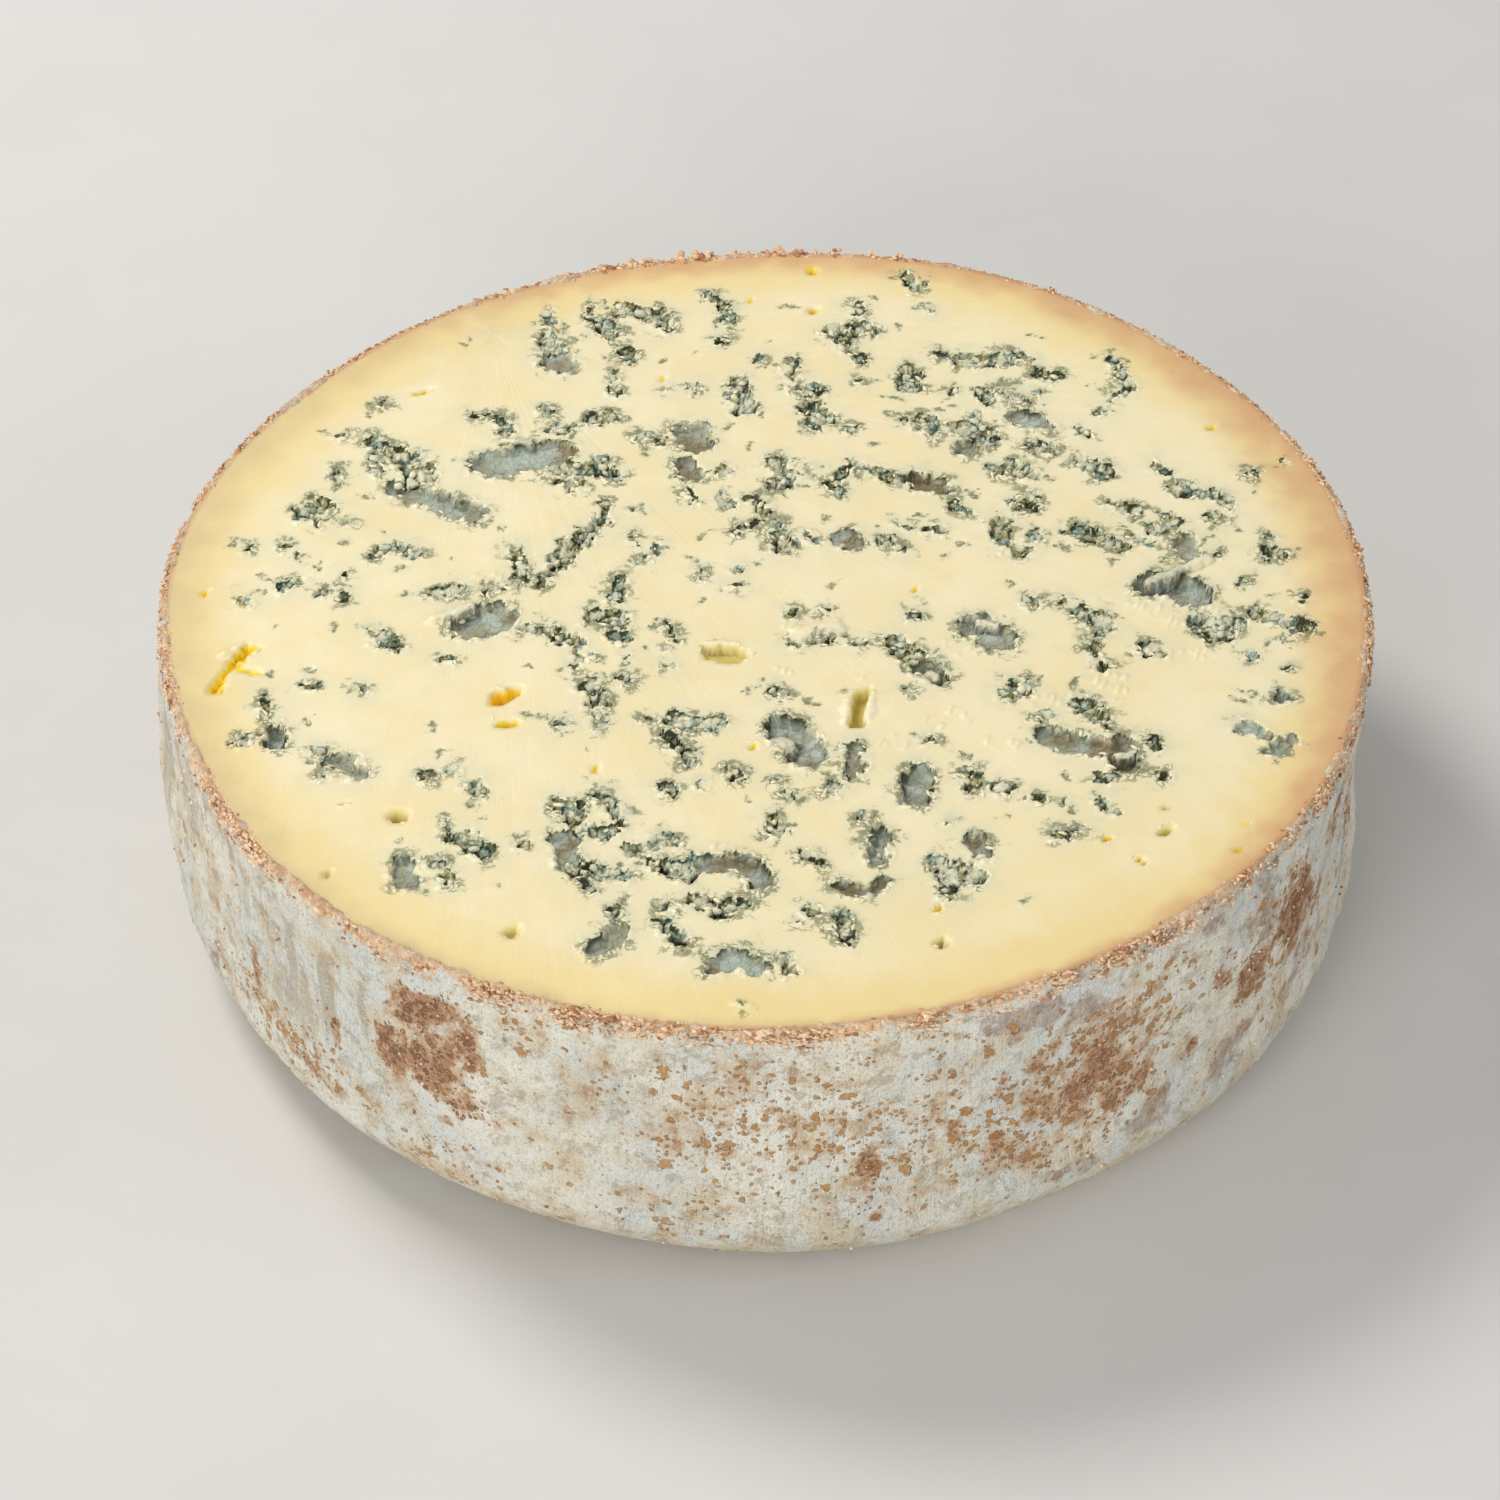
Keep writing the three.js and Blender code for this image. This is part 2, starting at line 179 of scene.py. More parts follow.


# %% [markdown]
# ## Where the mould grew
#
# Blue mould grows only where air got in: along the gaps between pressed curds and along the holes made by
# long needles. On the cut face these show as short ragged veins. They could be left to chance, but a viewer
# remembers the pattern of a cut cheese, so the veins are listed one by one as strokes, each a width, a depth
# and the points that it passes, in millimetres from the wheel's axis. Three kinds look different: a vein
# full of mouldy curds, an open cave with a smooth floor, and a clean hole that no mould reached.

# %% The veins of the cut face
CURDY = (
    (6, 2.4, -35, 36.5, -31, 36.5, -28, 37), (4, 2.4, -34, 33.5, -32.5, 32),
    (3, 1.6, -28, 37, -25.5, 34.5), (2.6, 1.4, -45.5, 50, -44.5, 47, -44.8, 43.5),
    (1.8, 1, -51, 51.3, -46.5, 51), (5, 2.4, -38.8, 74, -37, 71), (2, 1.2, -38.2, 82, -38, 77),
    (4.5, 2, -25.5, 82, -22, 81, -18.5, 80, -18, 77.5), (2, 1, -31.5, 83, -31, 79),
    (4.6, 2.2, -28.5, 77.5, -27, 75), (3.4, 1.6, -24, 70, -23.8, 67), (3, 1, -26, 64, -26.3, 58),
    (4.2, 2.2, -30, 50, -27, 51.3), (3.6, 1.4, -37, 48, -34, 48), (2.8, 1.2, -38, 53),
    (3, 1.4, -12.5, 59.3), (1.8, 1, -16.2, 59), (4.4, 1.8, -4.8, 60.5, -5, 57, -4, 53.5),
    (3, 1.4, -10, 86, -7.5, 82, -6.5, 78.5), (2.4, 1.2, -8, 72.5), (2.4, 1, -1.2, 68),
    (3.8, 1.8, -7.5, 36), (2.2, 1, -21.5, 45.5, -18, 44.3), (6.4, 2, -60.5, 39.5, -59, 35),
    (2.8, 1.4, -66, 44, -66.2, 36), (3, 2, -72.5, 46.2), (2, 1, -73, 36.5, -72.5, 33),
    (3, 1.4, -67.5, 44.5, -63, 42, -59, 40.5), (5.4, 2.4, -77.5, 24.5, -75, 27), (3.4, 2.4, -74.8, 22.5),
    (2.2, 1.2, -80.5, 15.8), (2, 1, -78, 13.2), (2.4, 1.2, -86.5, 15.5), (2.2, 1, -70, 21.5),
    (2, 1.2, -70, 9), (3.2, 1.8, -65.5, 13.3, -62, 16, -58.8, 13.5), (3, 1.8, -73, 4), (3, 1.8, -70, 2.6),
    (3.4, 1.6, -86, 2), (3.2, 1.4, -79.5, 5.5), (5, 2.6, -28, 22.5, -31, 18, -33.5, 14.5, -34.5, 12),
    (2, 1.6, -26.8, 28, -27.5, 25), (3.6, 2.6, -36, 8, -37, 5.5), (3.4, 1.4, -42, 15, -41, 11, -41, 7.5),
    (3, 1.8, -45.5, 4, -42.3, 5), (3.6, 1.4, -55, 3.2, -51, 4.8), (2.8, 1.2, -24.5, 7, -25.2, 2),
    (1.8, 1, -22.5, 25.2), (2.6, 1.2, -4.5, 9.8), (2.2, 1, -20.5, 11.5, -18, 16),
    (1.6, 0.8, -22.5, 19.5, -22.3, 17), (3.2, 1.6, -7.5, 29, -6.5, 27), (3.4, 1.8, -2.5, 28.5, -0.5, 25),
    (1.8, 1, -5.5, 19.2, -1, 22.7), (2.2, 1, -13.3, 31, -12.3, 27.5), (1.8, 1, -11, 9, -10.5, 7.5),
    (2.6, 1, -5.2, 5.5), (4, 2, 25, 91.5, 27, 88), (2.4, 1.8, 28, 81.5),
    (4.6, 2.4, 11.5, 75.5, 15, 77, 18, 76), (4.2, 2.4, 13, 73.5, 13.6, 70.5),
    (2.6, 1.2, 15.5, 83, 16, 80.5), (3, 1.2, 16.3, 67.5), (3.4, 1.6, 4.2, 66.5, 5, 62),
    (4.6, 2, 5.5, 59.3, 8, 58), (2, 1, 15.8, 61), (4.4, 2.2, 7.5, 53.5, 10.2, 50.5), (4, 1.4, 8, 49.5),
    (2.6, 1, 14, 47.8), (4.2, 2.2, 24.5, 64.5, 25, 59.5), (2.4, 1, 29.5, 69.5, 31, 67),
    (5, 2, 33.5, 67.5, 36.5, 67, 40.5, 67.5), (1.6, 0.8, 42.5, 69.5, 45.5, 67),
    (3.4, 1.8, 46.8, 63.3, 49.6, 62), (2, 1.2, 46.4, 58), (2.4, 1.2, 32, 58.5),
    (3, 1.6, 36.5, 58.5, 38.2, 55.3), (4, 1.6, 41, 59, 42.7, 55.5), (3.4, 1.2, 35.5, 52.5),
    (4.4, 1.6, 27.5, 50, 28.2, 47.5), (2.4, 1.4, 23.5, 50.5), (6.6, 2.6, 33.8, 48.5, 36.5, 45.5),
    (2.2, 1.2, 60, 68, 61.3, 63.5, 62.4, 59.5, 59, 56), (4, 1.6, 57.2, 52.8), (3.4, 2.2, 54, 47.2),
    (4.6, 2, 53, 39, 56.8, 35.5), (2.6, 1, 65.5, 37.5, 67, 36), (5, 1.8, 69.5, 31.5),
    (2.6, 1.6, 72, 30.8, 75.5, 29.8, 77.3, 26.5), (4.4, 1.4, 75.3, 23.6),
    (2.6, 1.2, 57.5, 27.5, 61.5, 25.5), (4, 2, 64.5, 20.5, 68.2, 21.5), (1.8, 1, 66, 25, 67.5, 23),
    (4.4, 2.4, 51, 19.5, 55, 18.5, 58.5, 16.5), (2.4, 1, 60, 19.5, 64, 16.5),
    (2.6, 1.2, 72.5, 12.6, 74.8, 13.8), (3.8, 2, 82.8, 15, 85, 13.8), (1.8, 1.2, 82.6, 11.8),
    (1.8, 0.8, 83.5, 18.8), (2.6, 1.4, 78.5, 6.5), (2.8, 1.4, 88, 2.5), (2.6, 1.4, 81.8, 35.5),
    (1.6, 0.8, 87.5, 38.3), (4.4, 1.6, 46, 42.5, 48, 41.5), (3.8, 1.6, 38.7, 36.5),
    (4.4, 2, 41.5, 38, 43.8, 35.3), (3.8, 1.8, 44, 28.8, 43.5, 26), (2, 1, 40.8, 27.5),
    (3, 1.4, 31, 27.5, 33.8, 24.5), (4.8, 2.4, 38, 22.5, 39.3, 19), (4, 2.4, 40, 16.5, 42, 14.6),
    (4, 1.6, 44.5, 18.5), (3.2, 1.8, 15, 37.8, 19, 35.8, 22.5, 33.8),
    (4.4, 1.8, 2, 38.5, 3, 34, 1.5, 32.5), (3.6, 1.6, 6.5, 36.5), (3, 1.8, 13, 36.5, 10.8, 33, 12, 29.5),
    (4.4, 2, 2.3, 18.5, 3, 15.5), (3.4, 1.6, 1.5, 22), (2, 0.8, 6.5, 18.8, 8.2, 17.8),
    (3.6, 1.6, 19.5, 17.5), (4, 2, 28.3, 20), (2.6, 1.6, 22.5, 14.7), (1.2, 0.6, 21.5, 22, 24, 21),
    (3.8, 1.8, 43.4, 1.2), (2, 1.4, 48.5, 1.5), (2.8, 1.6, -39.6, -5.2, -37, -5.6),
    (4.6, 1.8, -34.5, -6.5, -31.5, -8), (4.8, 1.8, -28, -2.3, -24.5, -3), (4.4, 2.2, -24.2, -7.3),
    (2.2, 1.2, -30.8, -11, -30.8, -15.5), (2.4, 1, -28.3, -12.3), (2, 1, -23, -12.5), (2.4, 1.2, -16, -15),
    (1.6, 1, -16.8, -10.5), (1.6, 1, -17, -4.5, -14.5, -8), (4.4, 2.4, -28.8, -20, -27.5, -23.5),
    (3.4, 1.8, -23, -18.3), (3.4, 1.4, -27.2, -27.5, -27, -29.5), (3.6, 1.4, -33, -29.2),
    (4.2, 1.4, -63.5, -7.3, -61, -10), (3.6, 1.6, -51.5, -13.2), (3.4, 1.8, -74, -20),
    (3.2, 1.8, -65.6, -20.8), (3, 1.2, -84, -33.5, -81.5, -32), (1.6, 1, -81.3, -22, -80, -28),
    (2.8, 1.8, -71.7, -35.7), (2.2, 1, -70.8, -42), (3.2, 1.6, -54, -42), (3.8, 1.4, -50.2, -40.3),
    (2.6, 1.6, -46.8, -43, -45.3, -46.8), (3.4, 1.4, -51.5, -62.5), (3.8, 1.2, -49.5, -65.8),
    (2, 1.4, -50, -53, -49.8, -56.8), (4.4, 2, -46.8, -57, -44, -60.3), (3.6, 1.2, -38.2, -58),
    (3.8, 2, -33.2, -48.5, -30.8, -50.8, -28.8, -55, -25.5, -55.8, -23.3, -53, -24.5, -48.5, -26.3, -46.5),
    (3, 1.8, -29.8, -48), (4, 2, -29.8, -63.5, -26.5, -64.3, -22.3, -65.3), (2, 1, -28.2, -66, -27, -68.5),
    (3.4, 1.4, -21.3, -59, -17.5, -57.8, -14.5, -56.5), (4.6, 2.2, -16.3, -62.5, -12.8, -65, -11, -62),
    (4.6, 2.4, -11, -70.5, -7.5, -73.2, -4.6, -72), (3.8, 1.4, -16, -72), (4.2, 2, -16, -77, -13.8, -79.8),
    (2.2, 1.4, -23.6, -73, -23.3, -75.8), (4, 1.4, -15.5, -27.8, -12, -29.2, -8.3, -29.5),
    (2, 1, -19, -28.5), (3, 2.2, -16, -32, -13.6, -35.5, -12.6, -38.5), (3.8, 1.8, -15.6, -44.8),
    (2.6, 1.2, -6, -40.3, -4.5, -42), (1.8, 0.8, -10.3, -43.5), (1.4, 0.8, -3.6, -94), (3.8, 1.8, 24, -2),
    (3, 1, 15, -9.5), (4.8, 2, 20.5, -8.8, 23.5, -12), (2.6, 1.2, 4.3, -1.5), (2, 1.4, 9.8, -0.8),
    (1.3, 3, 3.2, -9.2, 5.5, -9.6, 9, -9.2, 12.6, -7.2), (3.6, 1.8, 1.5, -21.5), (1.8, 1, 22.8, -21),
    (3.6, 1.6, 10.2, -44.5), (3.4, 1.4, 3.4, -47), (3, 1.4, 25.5, -33.5),
    (3.8, 2, 31.8, -40.5, 32.5, -44.5), (4.4, 1.8, 37, -44.5), (3.4, 2, 42.5, -47), (2.6, 1.6, 46.5, -48),
    (3.6, 1.6, 38.5, -22, 42, -21.5, 40.8, -19.2), (3.4, 1.4, 44.3, -27), (5.2, 2, 50.8, -24.8, 53, -27),
    (2.4, 1.8, 54.5, -30), (2.8, 1.6, 61.5, -33.5, 62.3, -35.3), (3.8, 2.4, 53, -10, 54.6, -15.5),
    (4, 2, 61.5, -9.5, 63, -11.3), (4.4, 1.6, 52, -1.5, 55, -5), (2, 1, 54.2, -7),
    (5.6, 2.6, 71, -3.5, 73.5, -7, 76, -4.5), (3.6, 2, 80.5, -1.8, 84, -3.5, 88.3, -5.2),
    (3.2, 1, 78.5, -12.5), (2, 1.2, 83.5, -8.6), (2, 1.2, 84.7, -15), (3.2, 1.2, 62.8, -41.8),
    (3, 1.2, 52.5, -42, 54.5, -42.8), (3.4, 1.6, 52.8, -47.3, 54.3, -49.3), (3.6, 1.4, 46, -56.2),
    (2.8, 1.4, 48.8, -54.8), (3.6, 1.6, 0.8, -51.5, 1.6, -55), (3, 1.6, 15.5, -51.6),
    (2.4, 1.4, 5, -60, 8.3, -62.6), (2.2, 1.2, 28.5, -52.2), (5, 2.2, 26, -62.5, 29, -65.5, 32, -65),
    (4, 1.6, 28, -69), (3.2, 1.4, 6.8, -73.5), (3.6, 2, 11.3, -75.3, 12, -78.6),
    (3.4, 1.8, 2.8, -84.5, 3.4, -86.5), (2, 1, 0.5, -66.3), (1.6, 0.8, 5, -76), (1.6, 0.8, 1, -43),
)
CAVES = (
    (7.4, 3, -47, 38, -41, 39.8, -36, 41.5), (5.6, 2.8, -37, 68, -35.6, 66),
    (6.4, 2.6, -13.2, 47, -12.3, 43.8), (4.6, 2.6, -14, 37.5, -12.6, 36),
    (5, 3, -61.8, 31.3, -58, 29.3, -54, 28, -51.5, 26, -49, 25), (5, 2, 43.3, 50.8, 46.8, 48.8),
    (4.6, 3, 34, 42.5), (4.6, 2.4, 69.3, 17.2, 70.2, 14.2), (6.8, 3.6, 63.5, 6, 68, 5.6, 70.3, 3.5),
    (5, 3.8, 25.5, 33.5, 29, 32), (5.4, 2, 13.5, 18), (8, 3.4, -48, -4.6, -44.8, -2.6),
    (3.2, 5, -78.6, -30.8, -78.4, -34.2), (3.6, 2.4, -69, -38.6, -66.5, -38, -64.8, -41),
    (4.2, 3, -56.6, -62.8, -56, -66.5), (4.4, 2.8, -31.8, -57, -31, -61),
    (4.2, 3.2, -10, -62.3, -5.5, -62, -2, -63.5, -1, -67), (4.4, 2.8, -23.3, -78, -24.3, -80, -26, -81.3),
    (4.2, 2.2, -8, -86, -4.6, -83.6, -1.6, -86), (6.4, 3, 34, -4.5, 37.8, -8), (5, 3, 26, -16, 27, -17.3),
    (7, 3.8, 3, -30.5, 4.5, -33, 6.4, -36.5), (3.6, 2, 13.8, -35.5, 13.6, -40.5),
    (5.2, 3.4, 24, -41.5, 23.3, -46.8), (5.4, 3.4, 45.3, -32.3, 49, -33.8, 52.3, -34.3),
    (5, 3.8, 56.3, -34, 57, -39), (3.4, 3, 83.2, -22.5), (2.8, 2, 76, -29.8, 79.6, -31.8),
    (3, 2, 80.6, -35.8, 83.2, -33.4), (4.2, 3.4, 17.6, -56, 17, -61), (3.8, 2.4, 32.6, -57, 33.6, -59.5),
    (3.2, 2.4, 11.3, -67.4, 14.5, -69.2, 17.7, -67.3), (2.4, 2, -66.5, 54.5),
)
GOLDEN = (
    (3.2, 2.6, -43.8, -23.2, -41.4, -21.5), (1.8, 1.6, -43, -29, -41.2, -29),
    (2, 1.4, -89, -20.5, -87, -15, -84.5, -10.5), (1.2, 0.8, -87, -16, -82.5, -16), (1.4, 1.2, 26, -73),
    (1.4, 1.2, -60, 57.6, -58.6, 58.4), (1.4, 1.4, -93.3, 3.6), (1.4, 1, 24.5, 4.6), (1.2, 0.8, 2.6, 4.2),
    (1.5, 1.2, 53, -56.5), (1.4, 1, 58, -61.5), (1.6, 1.2, 73.3, -58.6), (1.6, 1, 75.6, 47.5),
    (1.6, 1.4, -27.6, -40), (1.3, 1, -2.5, -35), (1.4, 0.8, -66, -48), (1.7, 1.8, 8, 93.4),
    (1.9, 1.8, 8, 82), (1.4, 1, -3.2, 84.3), (1.1, 0.8, 67, -65.5), (1.3, 0.8, 76, -53.6),
    (1.1, 1, -18.5, 62),
)
OLIVE = (
    (2.8, 2.2, -58.3, -51.4), (1.6, 2, -68.6, -64.5), (4.4, 1.6, -9, -10.6, -5.4, -12),
    (2.6, 1.4, -39, -78.3), (3.6, 2.2, 15.6, -22, 14.2, -28.5), (2.4, 2.8, 62.6, -54.6),
    (2.4, 2.4, 26.6, -80.6), (1.6, 1, 62.4, -50),
)
print("placed by hand:", len(CURDY), "veins,", len(CAVES), "caves and", len(GOLDEN + OLIVE), "clean holes")

# %% [markdown]
# Between the large veins lie many small specks. They follow the large ones, so each speck is drawn near a
# random point of a random vein, and those that land too near the rind are dropped: a young rim stays dry
# and free of mould.

# %% Small specks near the veins
SPECK_COUNT = 230
SPECK_WIDTHS, SPECK_LENGTH, SPECK_SPREAD = (0.5, 1.4), 0.9, 5.5
CLEAR_RIM = 9.0


def small_specks(seed=11):
    draw = np.random.default_rng(seed)
    specks = []
    while len(specks) < SPECK_COUNT:
        vein = CURDY[draw.integers(len(CURDY))]
        place = draw.integers(1, len(vein) // 2) * 2
        spot = np.array(vein[place:place + 2]) + draw.normal(0, SPECK_SPREAD, 2)
        if np.hypot(*spot) > WHEEL_RADIUS - CLEAR_RIM:
            continue
        lean = draw.normal(0, SPECK_LENGTH, 2)
        width = draw.uniform(*SPECK_WIDTHS)
        specks.append((width, width * draw.uniform(0.25, 0.5), *spot, *(spot + lean)))
    return specks


SPECKS = small_specks()

# %% [markdown]
# ## The height of the cut face
#
# The face is a height map: one height for each place. That can't overhang, but a pocket seen from above
# hardly needs it, and it allows a mesh that is fine where the mould is and coarse where the paste is
# smooth. Every vein's edge is bent by a layered field, which tears it as the knife did. The knife came from
# the far side, so the far wall of a pocket slopes and the near lip is steep and slightly raised.

# %% A lattice over the face
UNIT = 0.38
COARSE = 4
HALF_CELLS = COARSE * math.ceil(WHEEL_RADIUS * 1.02 / (UNIT * COARSE))
line = np.arange(-HALF_CELLS, HALF_CELLS + 1) * UNIT
grid_x, grid_y = np.meshgrid(line, line, indexing="ij")
shape = grid_x.shape
flat_points = np.stack([grid_x.ravel(), grid_y.ravel(), np.zeros(grid_x.size)], axis=1)
print("lattice of", shape[0], "by", shape[1], "places")

tear, blur = Field(3), Field(5)


def face_field(field, size, layers=3, keep=0.5, shift=0.0):
    """A layered field over the whole lattice."""
    return field.layered(flat_points + shift, size, layers, keep).reshape(shape)


TEAR_SIZE, TEAR_REACH = 3.4, 0.95
bent_x = grid_x + TEAR_REACH * face_field(tear, TEAR_SIZE, 4, 0.6)
bent_y = grid_y + TEAR_REACH * face_field(tear, TEAR_SIZE, 4, 0.6, shift=91)
edge_noise, patchy = face_field(tear, 1.5, 3, 0.65, shift=7), face_field(blur, 5.5, 3, shift=31)
island = face_field(blur, 2.6, 2, shift=61)

# %% How deep inside a vein each place is
VEIN_REACH = 7.0


def stroke_distance(x, y, stroke):
    """Distance to a stroke, and how far towards +Y of it the place lies, from -1 to 1."""
    corners = np.array(stroke[2:]).reshape(-1, 2)
    best, side = np.full(x.shape, np.inf), np.zeros(x.shape)
    ends = zip(corners, corners[1:]) if len(corners) > 1 else [(corners[0], corners[0])]
    for start, end in ends:
        span = end - start
        length = max(float(span @ span), 1e-6)
        along = np.clip(((x - start[0]) * span[0] + (y - start[1]) * span[1]) / length, 0, 1)
        gap_x, gap_y = x - start[0] - along * span[0], y - start[1] - along * span[1]
        distance = np.hypot(gap_x, gap_y)
        closer = distance < best
        best = np.where(closer, distance, best)
        side = np.where(closer, gap_y / np.maximum(distance, 0.1), side)
    return best, side


class Veins:
    """A group of veins over the lattice. Each place knows how far inside a vein's edge it is, in mm, and the
    half width, the depth and the side of that vein."""

    def __init__(self, strokes, ragged):
        self.inside, self.half = np.full(shape, -FAR), np.ones(shape)
        self.depth, self.side = np.zeros(shape), np.zeros(shape)
        for stroke in strokes:
            self.add(stroke)
        self.inside += ragged * edge_noise

    def add(self, stroke):
        half, xs, ys = stroke[0] / 2, stroke[2::2], stroke[3::2]
        reach = half + VEIN_REACH
        rows = slice(*np.searchsorted(line, (min(xs) - reach, max(xs) + reach)))
        columns = slice(*np.searchsorted(line, (min(ys) - reach, max(ys) + reach)))
        window = (rows, columns)
        distance, side = stroke_distance(bent_x[window], bent_y[window], stroke)
        better = half - distance > self.inside[window]
        news = (half - distance, half, stroke[1], side)
        for field, new in zip((self.inside, self.half, self.depth, self.side), news):
            field[window] = np.where(better, new, field[window])

    def bowl(self, far_slope, near_slope):
        """From 0 at the lip to 1 at full depth, over a far slope and a steep near wall given in mm."""
        far_slope = np.minimum(far_slope, 0.8 * self.half)
        run = near_slope + (far_slope - near_slope) * smoothstep(self.side, -0.3, 0.7)
        return smoothstep(self.inside, 0, run)

    def cover(self):
        return smoothstep(self.inside, -0.12, 0.2)


curdy, caves, specks = Veins(CURDY, 0.5), Veins(CAVES, 0.3), Veins(SPECKS, 0.5)
golden, olive = Veins(GOLDEN, 0.2), Veins(OLIVE, 0.3)
curdy.inside -= 0.22 + 1.1 * smoothstep(island, 0.15, 0.6) * smoothstep(curdy.half, 0.8, 1.8)

# %% [markdown]
# A vein is filled with mouldy curd: rounded grains with creases between them, in two sizes. Near the
# lip the grains pulled away from the paste and left a deep gap. Around a vein the paste was torn into
# a pale fringe, and some patches beside it were drawn into fine ripples by the knife. The material paints
# shade on this relief, nearly black in the gap and dark in the creases, where the mould is also dark of
# itself, and paints highlight on the grain tops, the near lips and the ripple crests.

# %% Heights inside and around the veins
curds = Field(7)
near_vein = (np.maximum(curdy.inside, caves.inside) > -0.5).ravel()


def grain_field(size, shift):
    tops = np.zeros(grid_x.size)
    bent = np.stack([bent_x.ravel(), bent_y.ravel(), flat_points[:, 2]], axis=1)[near_vein]
    tops[near_vein] = curds.grains(bent + shift, size, depth_too=False)
    return tops.reshape(shape)


BIG_GRAIN, SMALL_GRAIN = 2.3, 1.2
grain_big, grain_small = grain_field(BIG_GRAIN, 0), grain_field(SMALL_GRAIN, 50)
curd_bowl, cave_bowl = curdy.bowl(1.3, 0.35), caves.bowl(1.0, 0.3)
near_side = smoothstep(-np.where(caves.inside > curdy.inside, caves.side, curdy.side), -0.5, 0.6)
# The gap along the near lip is deepened here, and the paste material paints it nearly black as shade.
gap_and_shade_band = smoothstep(curdy.inside, 0.1, 0.4) * smoothstep(curdy.inside, 1.1, 0.6) * near_side
gap_and_shade_band *= smoothstep(curdy.depth, 1.2, 2.0)
filling = np.clip(0.8 * grain_big + 0.22 * grain_small, 0, 1) * (1 - gap_and_shade_band)
CURD_SHARE, CAVE_SHARE, SPECK_DEPTH = 0.8, 0.5, 0.35
curd_sink = CURD_SHARE * curdy.depth * curd_bowl * np.clip(0.9 + 0.4 * island, 0.5, 1.2)
curd_sink *= 1 - 0.85 * filling
cave_grain = 0.18 * grain_big * smoothstep(caves.inside, 1.5, 0.6)
cave_sink = CAVE_SHARE * caves.depth * cave_bowl * (1 + 0.15 * patchy - cave_grain)
clean_sink = np.maximum(golden.depth * golden.bowl(0.9, 0.3), olive.depth * olive.bowl(1.2, 0.4))
speck_sink = SPECK_DEPTH * specks.bowl(0.6, 0.3) * smoothstep(specks.half, 0.4, 0.8)
sink = np.maximum(np.maximum(curd_sink, cave_sink), np.maximum(clean_sink, speck_sink))

mould_in = np.maximum(curdy.inside, caves.inside)
clean_in = np.maximum(golden.inside, olive.inside)
open_in = np.maximum(mould_in, clean_in)

LIP_RISE = 0.3
lip_band = np.exp(-(((-open_in - 0.35) / 0.45) ** 2)) * np.where(clean_in > mould_in, 0.45, 1)
lip_noise = smoothstep(face_field(tear, 0.9, 2, shift=19), -0.35, 0.5)
lip = LIP_RISE * lip_band * (0.35 + 0.65 * near_side) * lip_noise

RIPPLES = (
    (55, -20, 7), (47, -24, 5), (60, 3, 6), (66, -1, 5), (20, -33, 4), (29, -28, 4), (6, -6, 4),
    (-46, 8, 3), (14, -16, 4), (-16, -58, 4), (33, -10, 4), (-31, -18, 3), (74, 1, 5), (22, -46, 3),
    (-8, -57, 3), (70, -12, 4), (3, -16, 3), (38, -34, 4),
)
RIPPLE_LENGTH, RIPPLE_HEIGHT, RIPPLE_HEADING = 1.3, 0.32, (0.93, -0.36)
ripple = np.zeros(shape)
for x, y, reach in RIPPLES:
    distance = np.hypot(grid_x - x, 1.3 * (grid_y - y)) / reach
    ripple = np.maximum(ripple, smoothstep(distance + 0.5 * patchy, 1.0, 0.5))
ripple *= smoothstep(mould_in, 0.0, -0.4) * smoothstep(face_field(blur, 2.4, 2, shift=77), -0.1, 0.45)
along_knife = RIPPLE_HEADING[0] * grid_x + RIPPLE_HEADING[1] * grid_y
ripple_phase = 2 * np.pi / RIPPLE_LENGTH * along_knife + 2.4 * face_field(blur, 4, 2, shift=83)
ripple_wave = (0.5 + 0.5 * np.sin(ripple_phase)) ** 1.5

SWELL_SIZE, SWELL_HEIGHT = 22, 0.12
swell = SWELL_HEIGHT * face_field(blur, SWELL_SIZE, 3)
face_z = swell - sink + lip + RIPPLE_HEIGHT * ripple * ripple_wave

# %% [markdown]
# Some curls of paste were left lying in or over a vein. Each is a stroke again, but it raises the height
# map. The last number says how far its top lies below the face.

# %% Curls of paste
CURLS = (
    (1.9, 62.8, 5.4, 73.2, 12.2, -0.7), (2.1, -54.5, -3.8, -49, -0.2, -0.4),
    (4.2, 2, -33.4, 2.9, -33.9, 1.1), (3.2, 26.2, -17, 26.6, -17.2, 0.8), (3.6, 5, -6.4, 11.2, -5.4, -0.1),
    (2.8, -6.3, -65.2, -5.8, -65, 0.8), (2, 56, -36.6, 58, -36, 0.4), (1.4, -45, 44.7, -40.5, 44, 0),
    (2.4, 36.6, -44.8, 37.3, -44.4, 0.5), (1.5, -9.8, -9.2, -4.8, -9.6, 0),
    (1.8, 12.7, -23.6, 12.3, -28.5, 0), (1.6, 17, -22, 16.4, -27.5, 0), (1.6, -88.5, -12, -85.5, -9.6, 0),
    (2, 52.4, -12.5, 52.9, -14, 0.5), (2.2, 62, -10.6, 62.8, -10.2, 0.5), (1.5, 43.6, 47.4, 47.5, 46.8, 0),
    (1.8, 34.8, -3.4, 37, -4.4, 0.5), (1.6, -20.6, -52, -22.6, -50.4, 0.4),
)
CURL_RISE, CURL_SINK = (0.55, 0.16), 0.45
less_bent = 0.5 * (grid_x + bent_x), 0.5 * (grid_y + bent_y)
curl_cover, curl_shade_band, curl_top = np.zeros(shape), np.zeros(shape), np.full(shape, -FAR)
